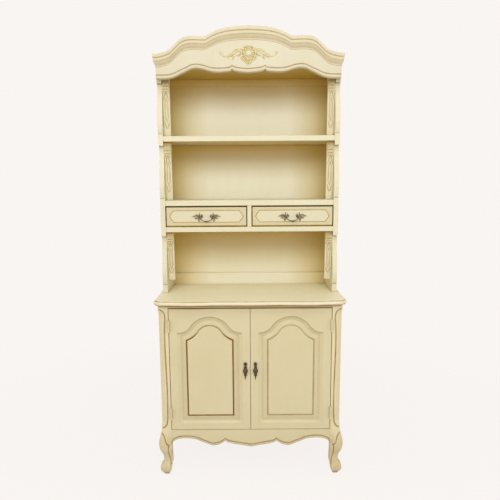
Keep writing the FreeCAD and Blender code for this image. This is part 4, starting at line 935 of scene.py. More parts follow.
def leg_grid():
    """Left leg and post, from the outer front corner: places (in, back, up) and glaze with painted shade."""
    sizes = bpy.context.scene.hutch_sizes
    post_corner = 1.2 * MM
    squared_over = 20 * MM
    cant_depth = 17 * MM
    cant_foot = 245.8 * MM
    cant_head = 781.4 * MM
    cant_ends = np.array([-13, -5.2, 0, 5.2, 13]) * MM
    post_clear = 2 * MM
    leg_clear = 1000 * MM
    line_share = 0.62
    knee_shade = 60 * MM
    toe_shade = 18 * MM
    gap_foot = 233 * MM
    gap_head = 793 * MM
    flush = 0.1 * MM
    up = leg_heights()
    shares = spline_through(LEG_SHARES, 400)[::-1]
    level = np.minimum(up / LEG, 1.0)
    middle, half, corner = (np.interp(level, shares[:, 0], shares[:, column]) * POST for column in (1, 2, 3))
    square = ramp(up, LEG, LEG + squared_over)
    corner = corner * (1 - square) + post_corner * square
    ring = joined_to_rails(round_square(half, corner), half, middle, up) + middle[:, None, None]
    # cant across the outer corner of the post, which comes in and stops along a small wave;
    # the leg's own clearance is so wide that the leg is never cut
    inside = np.minimum(up - cant_foot, cant_head - up)
    canted = cant_depth * np.interp(inside, cant_ends, [0, 0.2, 0.5, 0.82, 1])
    clear = np.where(up > LEG, post_clear, leg_clear)
    short = np.maximum((canted - clear)[:, None] - ring.sum(-1) / math.sqrt(2), 0)
    ring = ring + short[..., None] / math.sqrt(2)
    # scored lines: the further face coordinate is folded, so each line shows on both faces
    places = joined(ring.max(-1), up[:, None])
    gaps = [distance_to(line, places) for line in groove_lines()]
    gap = np.min(gaps, axis=0)
    scored = bell(gap, 0, sizes.post_line_width * line_share)
    inward = middle[:, None, None] - ring
    inward /= np.linalg.norm(inward, axis=-1)[..., None]
    depth = np.where(up < LEG, sizes.knee_groove, sizes.line_depth)[:, None, None]
    ring = ring + inward * scored[..., None] * depth
    pale_whorl = np.where(gaps[-1] > gap, 1.0, 0.3)
    # below the post the leg is darker, and the toe darker still as painted shade
    lower_leg_darkening = 0.2 * ramp(up, LEG, LEG - knee_shade) + 0.35 * ramp(up, toe_shade, 0)
    shade = np.maximum(scored * pale_whorl, lower_leg_darkening[:, None])
    # the face beside the doors is painted dark as the shadow in the gap, which draws the line of the gap
    inner = np.max(ring[..., 0], axis=1)[:, None] - ring[..., 0] < flush
    beside_door = ((up > gap_foot) & (up < gap_head))[:, None] & inner
    return joined(ring[..., 0], ring[..., 1], up[:, None]), np.where(beside_door, 1.6, shade)


class HUTCH_OT_front_legs(HutchOperator, bpy.types.Operator):
    """Cabriole front legs with their canted posts and scored lines"""

    bl_idname = "hutch.front_legs"
    bl_label = "Front legs"

    def execute(self, context):
        grid, glaze = leg_grid()
        for side, word in SIDES:
            node = "front_leg_" + word
            places = grid * np.array([-side, 1.0, 1.0]) + np.array([side * POST_OUT, FACE_Y, 0.0])
            Surfaces().add(places, glaze).piece(node + "_carved", "case", "Lit post paint", [node])
        return {"FINISHED"}


class HUTCH_OT_apron(HutchOperator, bpy.types.Operator):
    """Scalloped apron with its bead and the brown line above it"""

    bl_idname = "hutch.apron"
    bl_label = "Apron"

    def execute(self, context):
        low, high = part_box("front_apron")
        rise = 84 * MM
        across = places_across(high.x, [high.x * APRON_CUSP_SHARE], 361)
        foot = height_along(APRON_SHARES, high.x, rise, low.z, across)
        # from the back of the lower edge round the bead to the face: out, up, glaze;
        # the glaze under the bead is painted shade, the peak above it the brown line
        bead = [
            (-20.0, 0.0, 0.3), (0.5, 0.0, 0.5), (2.6, 0.7, 0.45), (3.8, 2.4, 0.35), (4.0, 4.4, 0.2),
            (3.4, 6.4, 0.12), (2.0, 7.9, 0.2), (0.4, 8.6, 0.5), (-0.9, 9.6, 0.65), (-0.9, 11.0, 0.6),
            (-0.1, 12.6, 0.35), (0.0, 16.0, 0),
        ]
        steps = [(out * MM, foot + up * MM, glaze) for out, up, glaze in bead]
        steps += [(0.0, high.z, 0), (-BOARD_THICK, high.z, 0)]
        along_front(across, FACE_Y, steps).piece("front_apron_carved", "case", "Base paint", ["front_apron"])
        return {"FINISHED"}


def arch_outline(reach, corner=0.0):
    """Points round an arched door opening, grown by a reach, about the door middle.

    Each shoulder is a hollow arc about a point above it and the top one arc about a point below,
    so growing the outline changes only their radii, and points keep their number.
    """
    half = 139.8 * MM
    apex = 753 * MM
    rise = 74.5 * MM
    hollow = 70 * MM
    foot = 256 * MM - reach
    arch = (half * half + rise * rise) / (2 * rise) - hollow
    side = half + reach
    centre = np.array([half, apex - rise + hollow])
    below = np.array([0.0, apex - arch])
    turn = below + (centre - below) * (arch + reach) / (arch + hollow)
    radius = hollow - reach
    start = np.array([side, centre[1] - math.sqrt(radius ** 2 - reach ** 2)])
    first = math.atan2(*(start - centre)[::-1])
    last = math.atan2(*(turn - centre)[::-1])
    last -= 2 * math.pi * (last > 0)
    bend = np.linspace(first, last, 26)
    shoulder = centre + radius * joined(np.cos(bend), np.sin(bend))
    open_turn = math.atan2(*(turn - below)[::-1])
    sweep = np.linspace(open_turn, math.pi - open_turn, 52)[1:-1]
    top = below + (arch + reach) * joined(np.cos(sweep), np.sin(sweep))
    right = np.linspace((side, foot), start, 40)[:-1]
    bottom = np.linspace((-side, foot), (side, foot), 30)[1:-1]
    points = np.vstack([shoulder, top, shoulder[::-1] * MIRROR, right[::-1] * MIRROR, bottom, right])
    if corner > 0:
        beside = np.maximum(np.abs(points[:, 0]) - side + corner, 0)
        under = np.maximum(foot + corner - points[:, 1], 0)
        beyond = np.hypot(beside, under)
        turned_by = np.where((beside > 0) & (under > 0), 1 - corner / np.maximum(beyond, corner * 0.1), 0)
        points[:, 0] -= np.sign(points[:, 0]) * beside * turned_by
        points[:, 1] += under * turned_by
    return points


def arched_rings(steps, centre_x, roundness=0.0):
    """Rings of the arched outline and their glaze, one for each step of (reach, depth, glaze).

    Where a roundness is given, the lower corners turn round by it in the middle of the moulding
    and stay square at its two edges.
    """
    rings = []
    for reach, deep, glaze in steps:
        corner = roundness * np.interp(reach, (-12.0, 0.8, 5.8), (0.05, 1.0, 0.05))
        outline = arch_outline(reach * MM, corner * MM)
        rings.append(joined(outline[:, 0] + centre_x, FACE_Y + deep * MM, outline[:, 1]))
    return np.stack(rings), glaze_of(steps)


class HUTCH_OT_door_panels(HutchOperator, bpy.types.Operator):
    """Raised arched panels and the moulding round them"""

    bl_idname = "hutch.door_panels"
    bl_label = "Door panels"

    def execute(self, context):
        # from the edge in the frame up the sloping margin to the flat field: reach, depth, glaze
        margin = [
            (7.5, 17.0, 0), (7.5, 11.0, 0), (-0.3, 11.0, 0), (-0.3, 9.4, 0), (-6.0, 9.4, 0),
            (-12.0, 9.0, 0.12), (-18.0, 7.3, 0.08), (-25.0, 5.2, 0.07), (-30.5, 3.6, 0.1), (-32.4, 3.3, 0.5),
            (-33.4, 3.7, 0.95), (-37.4, 3.6, 1), (-38.4, 2.4, 0.8), (-39.2, 1.3, 0.3), (-40.2, 1.05, 0),
            (-42.0, 1.0, 0),
        ]
        # moulding on the inner edge of the frame, a round with a small step: reach, depth, glaze
        moulding = [
            (6.4, 3.0, 0), (6.4, -0.2, 0), (5.8, -0.25, 0), (4.8, 0.1, 0.1), (3.2, 0.8, 0.05), (0.8, 2.2, 0),
            (-2.0, 4.2, 0), (-5.0, 6.4, 0.02), (-8.0, 8.0, 0.08), (-10.4, 8.7, 0.15), (-12.0, 9.0, 0.15),
            (-12.4, 9.3, 0), (-12.4, 10.0, 0), (-1.0, 10.6, 0), (0.1, 11.0, 0),
        ]
        field_arch = 655 * MM
        field_fade = 30 * MM
        frame_arch = 676 * MM
        frame_fade = 4 * MM
        # the line is faint round the arch, and lighter on the right door
        line_strengths = {"left": 1.2, "right": 0.62}
        for word in ("left", "right"):
            door = "door_" + word
            low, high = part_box(door + "_panel")
            centre = (low.x + high.x) / 2
            rings, glaze = arched_rings(margin, centre)
            faint = 0.5 * ramp(rings[..., 2], field_arch, field_arch + field_fade)
            panel = Surfaces().add(rings, glaze * (1 - faint) * line_strengths[word])
            panel.piece(door + "_panel_raised", door, "Base paint", [door + "_panel"])
            rings, glaze = arched_rings(moulding, centre, roundness=12.0)
            # along the arch the outer edge of the moulding is darkened as painted shade, where it faces down
            arch = ramp(rings[..., 2], frame_arch, frame_arch + frame_fade)
            edge = bell(np.array([reach for reach, deep, line in moulding]), 3.0, 3.0)[:, None]
            sticking = Surfaces().add(rings, np.maximum(glaze, 0.5 * edge * arch), closed=True)
            sticking.piece(door + "_sticking", door, "Base paint")
        return {"FINISHED"}


def crown_station(out, down):
    """One line of the crown, from the rear of the left side round the mitred front to the right."""
    half = CORNICE_HALF
    rear = high_of("crown_returns").y
    face = CORNICE_FACE - out
    across = places_across(half + out, [half * CROWN_CUSP_SHARE, half * CROWN_END_SHARE])
    held = np.clip(across, -half * CROWN_END_SHARE, half * CROWN_END_SHARE)
    height = height_along(CROWN_SHARES, half, CROWN_RISE, CORNICE_CORNER, held)
    right = np.linspace((half + out, face, CORNICE_CORNER), (half + out, rear, CORNICE_CORNER), 12)[1:]
    left = right[::-1] * np.array([-1.0, 1.0, 1.0])
    return np.vstack([left, joined(across, face, height), right]) - np.array([0, 0, down])


class HUTCH_OT_cornice(HutchOperator, bpy.types.Operator):
    """Cornice board with its bead, and the crown moulding mitred round it"""

    bl_idname = "hutch.cornice"
    bl_label = "Cornice"

    def execute(self, context):
        self.build_frieze()
        self.build_crown()
        return {"FINISHED"}

    def build_frieze(self):
        """The board from its scalloped foot to behind the crown moulding."""
        half = CORNICE_HALF
        scallop_rise = 43 * MM
        plain_head = 30 * MM
        marks = half * np.array([SCALLOP_CUSP_SHARE, CROWN_CUSP_SHARE, CROWN_END_SHARE])
        across = places_across(half, marks)
        foot = height_along(SCALLOP_SHARES, half, scallop_rise, CORNICE_FOOT, across)
        head = height_along(CROWN_SHARES, half, CROWN_RISE, CORNICE_CORNER, across)
        # from the back of the lower edge round the bead to the face: out, up, glaze;
        # the glaze under the bead is painted shade, the peak above it the scored line
        bead = [
            (-20.0, 0.0, 0.3), (0.4, 0.0, 0.4), (2.4, 1.0, 0.32), (3.7, 3.4, 0.2), (4.0, 6.4, 0.1),
            (3.6, 9.6, 0.05), (2.6, 12.2, 0.05), (1.2, 14.0, 0.3), (0.0, 14.8, 0.8), (-0.7, 15.8, 0.9),
            (-0.7, 17.4, 0.85), (-0.1, 18.8, 0.4), (0.0, 21.0, 0),
        ]
        steps = [(out * MM, foot + up * MM, glaze) for out, up, glaze in bead]
        steps += [(0.0, head - plain_head, 0), (0.0, head, 0), (-BOARD_THICK, head, 0)]
        frieze = along_front(across, CORNICE_FACE, steps)
        frieze.piece("cornice_frieze", "case", "Shaded cornice paint", ["cornice_board", "cornice_bead"])

    def build_crown(self):
        """The crown moulding: bands, two scored grooves and a cove over a last brown line."""
        # out, down from the upper edge, glaze; the peaks are the scored grooves and lines,
        # and the low glaze between them and over the cove is painted shade
        profile = [
            (0.0, 0.0, 0), (11.0, 0.0, 0.05), (12.0, 1.2, 0.05), (12.0, 13.6, 0.05), (11.2, 14.8, 0.2),
            (9.6, 15.4, 0.55), (9.0, 16.4, 0.65), (9.2, 17.6, 0.55), (9.8, 18.6, 0.15), (10.3, 20.6, 0.12),
            (10.4, 24.0, 0.12), (9.8, 28.6, 0.16), (8.9, 30.8, 0.25), (8.0, 31.4, 0.5), (7.5, 32.4, 0.6),
            (7.6, 33.4, 0.45), (7.5, 35.0, 0.28), (6.4, 38.4, 0.28), (4.4, 42.0, 0.28), (2.6, 44.8, 0.3),
            (1.5, 46.6, 0.45), (1.2, 48.0, 0.55), (1.5, 49.2, 0.45), (2.0, 50.4, 0.15), (2.0, 52.6, 0.1),
            (1.2, 54.4, 0.2), (0.0, 55.0, 0.6),
        ]
        grid = np.stack([crown_station(out * MM, down * MM) for out, down, glaze in profile], axis=1)
        crown = Surfaces().add(grid, glaze_of(profile).T)
        replaced = ["crown_front", "crown_returns"]
        crown.piece("crown_moulding", "case", "Cornice moulding paint", replaced, sharp=40)


class HUTCH_OT_applique(HutchOperator, bpy.types.Operator):
    """Gilt ornament on the cornice: a shell cartouche with a scroll arm on each side"""

    bl_idname = "hutch.applique"
    bl_label = "Applied ornament"

    # height of its middle in millimetres, and the plane of its back, just inside the board's face
    middle = 1897.0
    plane = CORNICE_FACE + 0.3 * MM

    def execute(self, context):
        ornament = Surfaces()
        self.add_arm(ornament)
        ornament.mirror()
        self.add_shell(ornament)
        ornament.piece("cornice_applique_carved", "case", "Gilt ornament", ["cornice_applique"], "gilt_trim")
        boss = Surfaces()
        boss_forward = 7.5 * MM
        grid, glaze = dome((0, self.middle + 2), 14, 12.5, 4.5)
        boss.add_raised(CORNICE_FACE - boss_forward, grid, glaze * 0.2)
        boss.piece("cornice_boss", "case", "Shaded cornice paint")
        return {"FINISHED"}

    def add_arm(self, ornament):
        """The right arm: stem, curled tip, leaves along it, and the C-scrolls beside the cartouche."""
        # points are across and above the middle, in millimetres
        stem = [(28, 2), (40, 13), (54, 11), (68, 1), (84, -7), (102, -9), (115, -3), (121, 6)]
        curls = [
            scroll((24, 17), start=-2.4, turns=0.95, first=10, last=3.5, count=30),
            scroll((24, -15), start=2.4, turns=-0.95, first=11, last=4, count=30),
        ]
        side = [(19, 25), (29, 12), (31, -2), (26, -16), (14, -30), (3, -40)]
        crest = [(3, 23), (8, 31), (15, 30), (19, 24)]
        leaves = [
            ([(30, 8), (42, 19), (58, 16), (72, 4)], 4.4),
            ([(44, 12), (58, 9), (70, -2), (78, -14)], 4.6),
            ([(58, 8), (71, 1), (84, -9), (88, -20)], 4.2),
            ([(72, 1), (86, -4), (98, -9), (108, -8)], 3.4),
            ([(34, 3), (42, -3), (48, -6), (54, -2)], 3.2),
            ([(66, -1), (64, -9), (66, -16), (72, -23)], 3.4),
        ]
        leaf_height = bpy.context.scene.hutch_sizes.leaf_relief / MM
        strokes = [(stem, 2.3, 3.4, 0, 60)]
        strokes += [(leaf, width, leaf_height, 0.45, 26) for leaf, width in leaves]
        strokes += [(curl, 2.4, 4.6, 0, 50) for curl in curls]
        strokes += [(side, 2.6, 5.0, 0, 50), (crest, 3.2, 5.0, 0.4, 24)]
        for path, width, height, vein, count in strokes:
            placed = np.asarray(path, float) + (0, self.middle)
            ornament.add_stroke(self.plane, placed, width, height, vein, count)
        grid, glaze = dome((121.5, self.middle + 7), 4.4, 4.4, 4.6, 7, 20)
        ornament.add_raised(self.plane, grid, np.maximum(glaze, 0.4))

    def add_shell(self, ornament):
        """The cartouche: a fluted shell behind the boss, a bead ring round it and three petals above."""
        ring_forward = 5.2 * MM
        turn = full_turn(144)[None, :]
        ring = np.linspace(0, 1, 16)[:, None]
        foot = 0.5 - 0.5 * np.sin(turn)
        flutes = 0.5 + 0.5 * np.cos(17 * turn)
        edge = 1 + 0.05 * (flutes - 0.5)
        hollow = np.sin(math.pi * ring)
        x = (0.45 + 0.55 * ring) * (29 - 3 * foot) * np.cos(turn) * edge * (1 - 0.25 * foot ** 2 * ring)
        z = self.middle + (0.4 + 0.6 * ring) * (30 + 9 * foot ** 2) * np.sin(turn) * edge
        front = joined(x, 5.6 - 3.6 * ring ** 2 + (flutes - 0.6) * 2.2 * hollow, z) * MM
        glaze = np.clip((1 - flutes) * hollow * 1.2 + ring ** 6 * 0.8, 0, 1)
        back = front[[-1, 0]] * np.array([1, 0, 1])
        ornament.add_raised(
            self.plane, np.concatenate([front, back]), np.concatenate([glaze, glaze[[-1, 0]]]), closed=True)
        circle = full_turn(59)
        bead = joined(16 * np.cos(circle), self.middle + 2 + 14.5 * np.sin(circle)) * MM
        ornament.add_raised(self.plane - ring_forward, *relief(bead, 1.9 * MM, 2.4 * MM), closed=True)
        for lean in (-0.5, 0, 0.5):
            petal = [(10 * lean, 18), (17 * lean, 26), (20 * lean, 36 - 5 * abs(lean))]
            ornament.add_stroke(self.plane, np.array(petal) + (0, self.middle), 3.6, 6.6, vein=0.4)


class HUTCH_OT_drawer_fronts(HutchOperator, bpy.types.Operator):
    """Drawer fronts with eased edges and a scored gold hexagon"""

    bl_idname = "hutch.drawer_fronts"
    bl_label = "Drawer fronts"

    # the scored hexagon: how far its tips stand in from the ends, and half its height
    tip_in = 17 * MM
    line_half = 27 * MM

    def execute(self, context):
        for word in ("left", "right"):
            drawer = "drawer_" + word
            low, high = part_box(drawer + "_front")
            middle = np.array([(low.x + high.x) / 2, 0, (low.z + high.z) / 2])
            grid, glaze = self.face_grid((high.x - low.x) / 2, (high.z - low.z) / 2, low.y, high.y)
            front = Surfaces().add(grid + middle, glaze)
            front.piece(drawer + "_front_scored", drawer, "Drawer paint", [drawer + "_front"])
        return {"FINISHED"}

    def hexagon(self, half):
        """Scored line: a long hexagon with a small turn in each slanted end."""
        end = 6 * MM
        slant = 18 * MM
        upper = [(half, 0), (half - end, 0.42 * self.line_half), (half - slant, self.line_half)]
        upper += [(-x, z) for x, z in reversed(upper)]
        return np.array(upper + [(x, -z) for x, z in reversed(upper[:-1])])

    def face_grid(self, half_x, half_z, front, back):
        """Columns across and rows round the thickness: a fine front face with the line pressed in."""
        sizes = bpy.context.scene.hutch_sizes
        line_share = 0.6
        ease = 1.2 * MM
        eased = 0.3 * ease
        soft = 0.5 * MM
        soft_under = 1.5 * MM
        fine = 85
        across = np.r_[-1, -0.9975, np.linspace(-0.995, 0.995, 339), 0.9975, 1] * half_x
        upward = np.linspace(-half_z + ease, half_z - ease, fine)
        up = np.r_[-half_z, -half_z, -half_z + eased, upward, half_z - eased, half_z, half_z]
        round_edge = [back, front + ease, front + eased]
        deep = np.r_[round_edge, np.full(fine, front), round_edge[::-1]]
        x, z = np.meshgrid(across, up, indexing="ij")
        on_face = deep <= front + 0.001 * MM
        gap = distance_to(self.hexagon(half_x - self.tip_in), joined(x, z))
        scored = bell(gap, 0, sizes.line_width * line_share) * on_face
        # the dark edges and the wider band along the bottom are painted shadow of the gap round the drawer
        inside = np.minimum(half_x - np.abs(x), 0.7 * (half_z - z))
        dark = 1.9 * ramp(inside, sizes.gap_shadow_width, sizes.gap_shadow_width - soft)
        under = 1.15 * ramp(half_z + z, 2 * sizes.gap_shadow_width, 2 * sizes.gap_shadow_width - soft_under)
        slanted = np.abs(x) + np.abs(z) * 0.67 - half_x + self.tip_in
        border = 0.24 * ramp(np.maximum(np.abs(z) - self.line_half, slanted), 0, soft)
        shade = np.max([1.2 * scored, border, dark, under], axis=0)
        return joined(x, deep + scored * sizes.line_depth, z), shade


class HUTCH_OT_drawer_pulls(HutchOperator, bpy.types.Operator):
    """Leafy plates and hanging bails of the drawers"""

    bl_idname = "hutch.drawer_pulls"
    bl_label = "Drawer pulls"

    # in millimetres: each eye from the middle of its pull, and the radius of a bail in the frame
    eye_out = 32
    bail_radius = 2.1

    def execute(self, context):
        metal = "antique_metal"
        for word in ("left", "right"):
            drawer = "drawer_" + word
            low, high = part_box(drawer + "_bail")
            middle = (low.x + high.x) / 2 / MM
            eye = high.z / MM - self.bail_radius
            plates = Surfaces()
            for end in (-1, 1):
                self.add_plate(plates, middle + self.eye_out * end, eye, end)
            plates.piece(drawer + "_plates", drawer, "Plate metal", [drawer + "_rosettes"], metal)
            bar, radius = self.bail(eye - low.z / MM)
            place = joined(bar[:, 0] + middle * MM, (low.y + high.y) / 2, bar[:, 1] + eye * MM)
            bail = Surfaces().add(tube(place, radius, 14))
            bail.piece(drawer + "_bail_cast", "bail_" + word, "Antique metal", [drawer + "_bail"], metal)
        return {"FINISHED"}

    def add_plate(self, plates, x, z, end):
        """Leaves round an eye: long ones outward, short ones inward, a blade and a tail; then its boss."""
        # outward and above the plate's middle, then the width and the depth of the vein
        leaves = [
            ([(0, -6), (10, -2), (22, 0), (35, -3)], 4.2, 0.5),
            ([(2, -5), (8, 2), (14, 6), (21, 6)], 3.2, 0.4),
            ([(2, -7), (10, -9), (17, -10), (24, -8)], 3.0, 0.4),
            ([(0, -8), (1, 1), (0, 9), (-1, 17)], 3.0, 0.5),
            ([(-1, -8), (-7, -3), (-10, 4), (-9, 11)], 3.4, 0.5),
            ([(-2, -9), (-9, -6), (-14, 0), (-14, 7)], 3.2, 0.4),
            ([(0, -6), (3, -14), (3, -20), (1, -26)], 4.2, 0.5),
        ]
        scale = 1.05
        fuller = 1.1
        for path, width, vein in leaves:
            placed = np.array(path) * (scale * end, scale) + (x, z - 3)
            plates.add_stroke(DRAWER_FACE, placed, fuller * width, 3.4, vein)
        neck_out = 17.5
        plates.add_raised(DRAWER_FACE, *dome((x, z - 9), 7, 9, 4.0, 8, 24))
        share = np.linspace(0, 1, 14)[:, None]
        radius = 3.4 + 1.3 * np.sin(math.pi * ramp(share, 0.35, 1)) - 11 * np.maximum(share - 0.9, 0)
        plates.add_raised(DRAWER_FACE, turned((x, z), neck_out * share, radius, radius, 16))

    def bail(self, reach):
        """Path and radii of a bail: upright ends, a wave down to a thick middle with two collars."""
        drop = reach - 2 * self.bail_radius
        half = [(31.5, 0), (30.5, -6), (28, -12), (23.5, -17.5), (16.5, -22.5), (8.5, 1.5 - drop), (0, -drop)]
        right = spline_through(half, 60)
        path = np.vstack([right, right[::-1][1:] * MIRROR])
        out = np.abs(path[:, 0])
        return path * MM, (1.7 + 1.7 * bell(out, 0, 5.5) + 0.7 * bell(out, 10, 1.3)) * MM


class HUTCH_OT_door_pulls(HutchOperator, bpy.types.Operator):
    """Cast upright pulls with a finial, an oval knob and a pointed tail"""

    bl_idname = "hutch.door_pulls"
    bl_label = "Door pulls"

    def execute(self, context):
        # across and above the middle, then the width and the height of the leaf
        upright = [
            ([(0, -12), (0, -24), (0, -34), (0, -45)], 3.2, 3.2),
            ([(0, 10), (0, 22), (0, 34), (0, 45)], 3.4, 3.2),
        ]
        spread = [
            ([(0, -16), (3.5, -19), (6.5, -22), (7, -25)], 2.6, 3.0),
            ([(0, 24), (4, 27), (7.5, 32), (7, 37)], 2.6, 3.0),
            ([(0, 30), (3, 35), (4, 39), (3, 42)], 2.2, 3.0),
            ([(0, 15), (4, 17), (6.5, 20), (6, 23)], 2.2, 2.8),
        ]
        leaves = upright + spread + [([(-x, z) for x, z in path], *size) for path, *size in spread]
        for word in ("left", "right"):
            node = "door_pull_" + word
            low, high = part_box(node)
            middle = np.array([low.x + high.x, low.z + high.z]) / 2 / MM
            pull = Surfaces()
            for path, width, height in leaves:
                pull.add_stroke(FACE_Y, np.array(path) + middle, width, height, vein=0.4)
            pull.add_raised(FACE_Y, *dome(middle, 10.6, 16, 3.4, 8, 32))
            self.add_knob(pull, middle)
            pull.piece(node + "_cast", "door_" + word, "Antique metal", [node], "antique_metal")
        return {"FINISHED"}

    def add_knob(self, pull, middle):
        """Oval knob: rings that narrow to a neck, swell and close, fluted round the swell."""
        share = np.linspace(0, 1, 22)[:, None]
        swell = 0.52 + 0.48 * np.sin(math.pi * ramp(share, 0.12, 1)) ** 0.8
        close = np.sqrt(1 - ramp(share, 0.6, 1) ** 2.2) + 0.02
        fluted = 1 + 0.035 * np.cos(12 * full_turn(40)) * np.sin(math.pi * share)
        size = swell * close * fluted
        pull.add_raised(FACE_Y, turned(middle, 2.4 + 14.4 * share, 9 * size, 13.2 * size, 40))


def between(value, first, last, fade=0.02):
    """One between two values and nothing outside them, with a short fade inside each end."""
    return ramp(value, first, first + fade) * ramp(value, last, last - fade)


class HUTCH_OT_corbels(HutchOperator, bpy.types.Operator):
    """Carved corbels: barred head, leaf lobes, fluted shaft and a husk"""

    bl_idname = "hutch.corbels"
    bl_label = "Corbels"

    def execute(self, context):
        clear = 1 * MM
        for word in ("left", "right"):
            node = "corbels_" + word
            low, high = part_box(node)
            corbels = Surfaces()
            for head, foot in (
                (high.z, high_of("hutch_shelf").z + clear),
                (low_of("hutch_shelf").z, high_of("drawer_deck_upper").z + clear),
                (low_of("drawer_deck_lower").z, low.z),
            ):
                self.add_corbel(corbels, (low.x + high.x) / 2, high.y, head, foot)
            corbels.piece(node + "_carved", "case", "Corbel paint", [node])
        return {"FINISHED"}

    def add_corbel(self, corbels, centre, rear, head, foot):
        """Rows down the corbel; each row is a carved front, two sides and a flat back.

        Place = rear - depth * share(down) + cut, and the cut is a sum of the carvings, each with its own
        stretch of the height: two bars under the head, lobes of a leaf, flutes and a husk.
        """
        deep = 32 * MM
        half = 16 * MM
        field_share = 0.74
        down = np.linspace(0, 1, 190)[:, None]
        across = np.linspace(-1, 1, 65)[None, :]
        off = np.abs(across)
        side = spline_through(CORBEL_SIDE_SHARES, 300)
        depth = np.interp(down, side[:, 0], side[:, 1]) * deep * (1 - 0.1 * ramp(off, 0.8, 1) ** 2)
        bars = bell(down, 0.15, 0.009) + bell(down, 0.2, 0.009)
        lobes = 0.5 - 0.5 * np.cos(3.4 * math.pi * off - 44 * down)
        flutes = 0.5 - 0.5 * np.cos(2 * math.pi * (across / field_share + 1))
        husk = 0.5 - 0.5 * np.cos(2.6 * math.pi * off + 46 * down)
        cut = ramp(off, field_share, field_share - 0.06) * (
            2.0 * bars + 2.2 * between(down, 0.22, 0.42) * lobes + 2.0 * between(down, 0.4, 0.68) * flutes
            + 1.9 * between(down, 0.66, 0.88) * husk)
        face = joined(centre + half * across, rear - depth + cut * MM, head - (head - foot) * down)
        back = face[:, [-1, 0]]
        back[..., 1] = rear
        shade = np.clip(0.1 + 0.24 * cut + 0.85 * ramp(down, 0.4, 0) ** 1.4, 0, 0.95)
        shade = np.hstack([shade, np.zeros((len(down), 2))])
        corbels.add(np.concatenate([face, back], axis=1), shade)


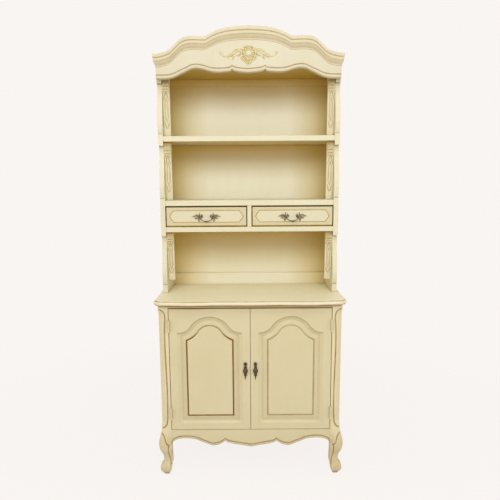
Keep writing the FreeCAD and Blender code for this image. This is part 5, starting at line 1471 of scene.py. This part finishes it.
class HUTCH_OT_stage(HutchOperator, bpy.types.Operator):
    """Floor, light and the camera at the photograph's angle"""

    bl_idname = "hutch.stage"
    bl_label = "Stage"

    def execute(self, context):
        bpy.context.scene.view_settings.view_transform = "Standard"
        self.build_sky()
        self.build_floor()
        self.build_lights()
        self.build_camera()
        return {"FINISHED"}

    def build_sky(self):
        """An even sky that the camera sees as the backdrop."""
        scene = bpy.context.scene
        scene.world = bpy.data.worlds.new("Studio")
        scene.world.use_nodes = True
        nodes = Nodes(scene.world.node_tree)
        strength = scene.hutch_stage.sky_strength
        soft = nodes.add("Background", {"Color": (1, 0.985, 0.955, 1), "Strength": strength})
        plain = nodes.add("Background", {"Color": scene.hutch_finish.backdrop, "Strength": 1.0})
        nodes.end_mixed("OutputWorld", nodes.seen(), soft, plain)

    def build_floor(self):
        """A wide pale floor that keeps the cabinet's shadow."""
        half, front, rear = 6, -5, 6
        shadow_near, shadow_end, shadow_share = 0.5, 2.4, 0.93
        mesh = bpy.data.meshes.new("studio_floor")
        corners = [(-half, front, 0), (half, front, 0), (half, rear, 0), (-half, rear, 0)]
        mesh.from_pydata(corners, [], [(0, 1, 2, 3)])
        nodes = new_finish("Studio floor")
        backdrop = bpy.context.scene.hutch_finish.backdrop
        matt = nodes.add("BsdfDiffuse", {"Color": backdrop})
        plain = nodes.add("Emission", {"Color": backdrop, "Strength": 1.0})
        away = nodes.add("VectorMath", {0: nodes.place()}, operation="LENGTH").outputs["Value"]
        share = nodes.times(nodes.seen(), nodes.spread(away, shadow_near, shadow_end, shadow_share, 1.0))
        nodes.end_mixed("OutputMaterial", share, matt, plain)
        mesh.materials.append(material_named("Studio floor"))
        place_object("studio_floor", mesh)

    def add_light(self, name, place, target, width, height, energy, tint):
        """A soft rectangular light that looks at a target."""
        data = bpy.data.lights.new(name, "AREA")
        data.shape = "RECTANGLE"
        data.size = width
        data.size_y = height
        data.energy = energy
        data.color = tint
        light = place_object(name, data)
        light.location = place
        light.rotation_euler = (Vector(target) - Vector(place)).to_track_quat("-Z", "Y").to_euler()

    def build_lights(self):
        """A large key light above the front, a low fill, one light at each side and one over the top."""
        stage = bpy.context.scene.hutch_stage
        white = (1, 0.985, 0.95)
        warm = (1, 0.98, 0.94)
        self.add_light("key_light", (-0.15, -3.3, 2.9), (0, 0, 1.2), 2.2, 1.2, stage.key_power, white)
        self.add_light("fill_light", (0.9, -3.4, 1.1), (0, 0, 0.9), 2.4, 1.6, stage.fill_power, warm)
        for side, word in SIDES:
            place = (3.2 * side, -1.1, 1.4)
            self.add_light(word + "_light", place, (0.4 * side, 0, 1.0), 0.8, 1.8, stage.side_power, warm)
        self.add_light("over_light", (0, -1.9, 3.9), (0, -0.1, 0.9), 2.2, 0.8, stage.over_power, white)

    def build_camera(self):
        """The camera where the photograph was taken from, shifted a little upward in its frame."""
        stage = bpy.context.scene.hutch_stage
        picture = 500
        shift_right = 2
        shift_up = 30
        data = bpy.data.cameras.new("camera")
        data.sensor_width = 36
        data.lens = stage.lens
        data.shift_x = shift_right / picture
        data.shift_y = shift_up / picture
        data.clip_end = 30
        camera = place_object("camera", data)
        look = Matrix.Rotation(math.pi / 2 - stage.pitch, 4, "X") @ Matrix.Rotation(stage.roll, 4, "Z")
        camera.matrix_world = Matrix.Translation(stage.camera_place) @ look
        bpy.context.scene.camera = camera


OPERATORS = (
    HUTCH_OT_finishes, HUTCH_OT_boards, HUTCH_OT_base_top, HUTCH_OT_front_legs, HUTCH_OT_apron,
    HUTCH_OT_door_panels, HUTCH_OT_door_pulls, HUTCH_OT_cornice, HUTCH_OT_applique, HUTCH_OT_drawer_fronts,
    HUTCH_OT_drawer_pulls, HUTCH_OT_corbels, HUTCH_OT_stage,
)


class HUTCH_PT_panel(bpy.types.Panel):
    """Settings and operators of the hutch cabinet in the sidebar"""

    bl_idname = "HUTCH_PT_panel"
    bl_label = "Hutch Cabinet"
    bl_space_type = "VIEW_3D"
    bl_region_type = "UI"
    bl_category = "Hutch Cabinet"

    def draw(self, context):
        for group in (context.scene.hutch_finish, context.scene.hutch_sizes, context.scene.hutch_stage):
            box = self.layout.box()
            for name in group.__annotations__:
                box.prop(group, name)
        for operator in OPERATORS:
            self.layout.operator(operator.bl_idname)


CLASSES = (HutchFinish, HutchSizes, HutchStage, *OPERATORS, HUTCH_PT_panel)


def register():
    """Make the classes and the settings known to Blender."""
    for one in CLASSES:
        bpy.utils.register_class(one)
    bpy.types.Scene.hutch_finish = bpy.props.PointerProperty(type=HutchFinish)
    bpy.types.Scene.hutch_sizes = bpy.props.PointerProperty(type=HutchSizes)
    bpy.types.Scene.hutch_stage = bpy.props.PointerProperty(type=HutchStage)


def unregister():
    """Take the settings and the classes back out."""
    del bpy.types.Scene.hutch_stage
    del bpy.types.Scene.hutch_sizes
    del bpy.types.Scene.hutch_finish
    for one in reversed(CLASSES):
        bpy.utils.unregister_class(one)


def main():
    """Build everything in order."""
    register()
    for operator in OPERATORS:
        group, name = operator.bl_idname.split(".")
        getattr(getattr(bpy.ops, group), name)()


if __name__ == "__main__":
    main()
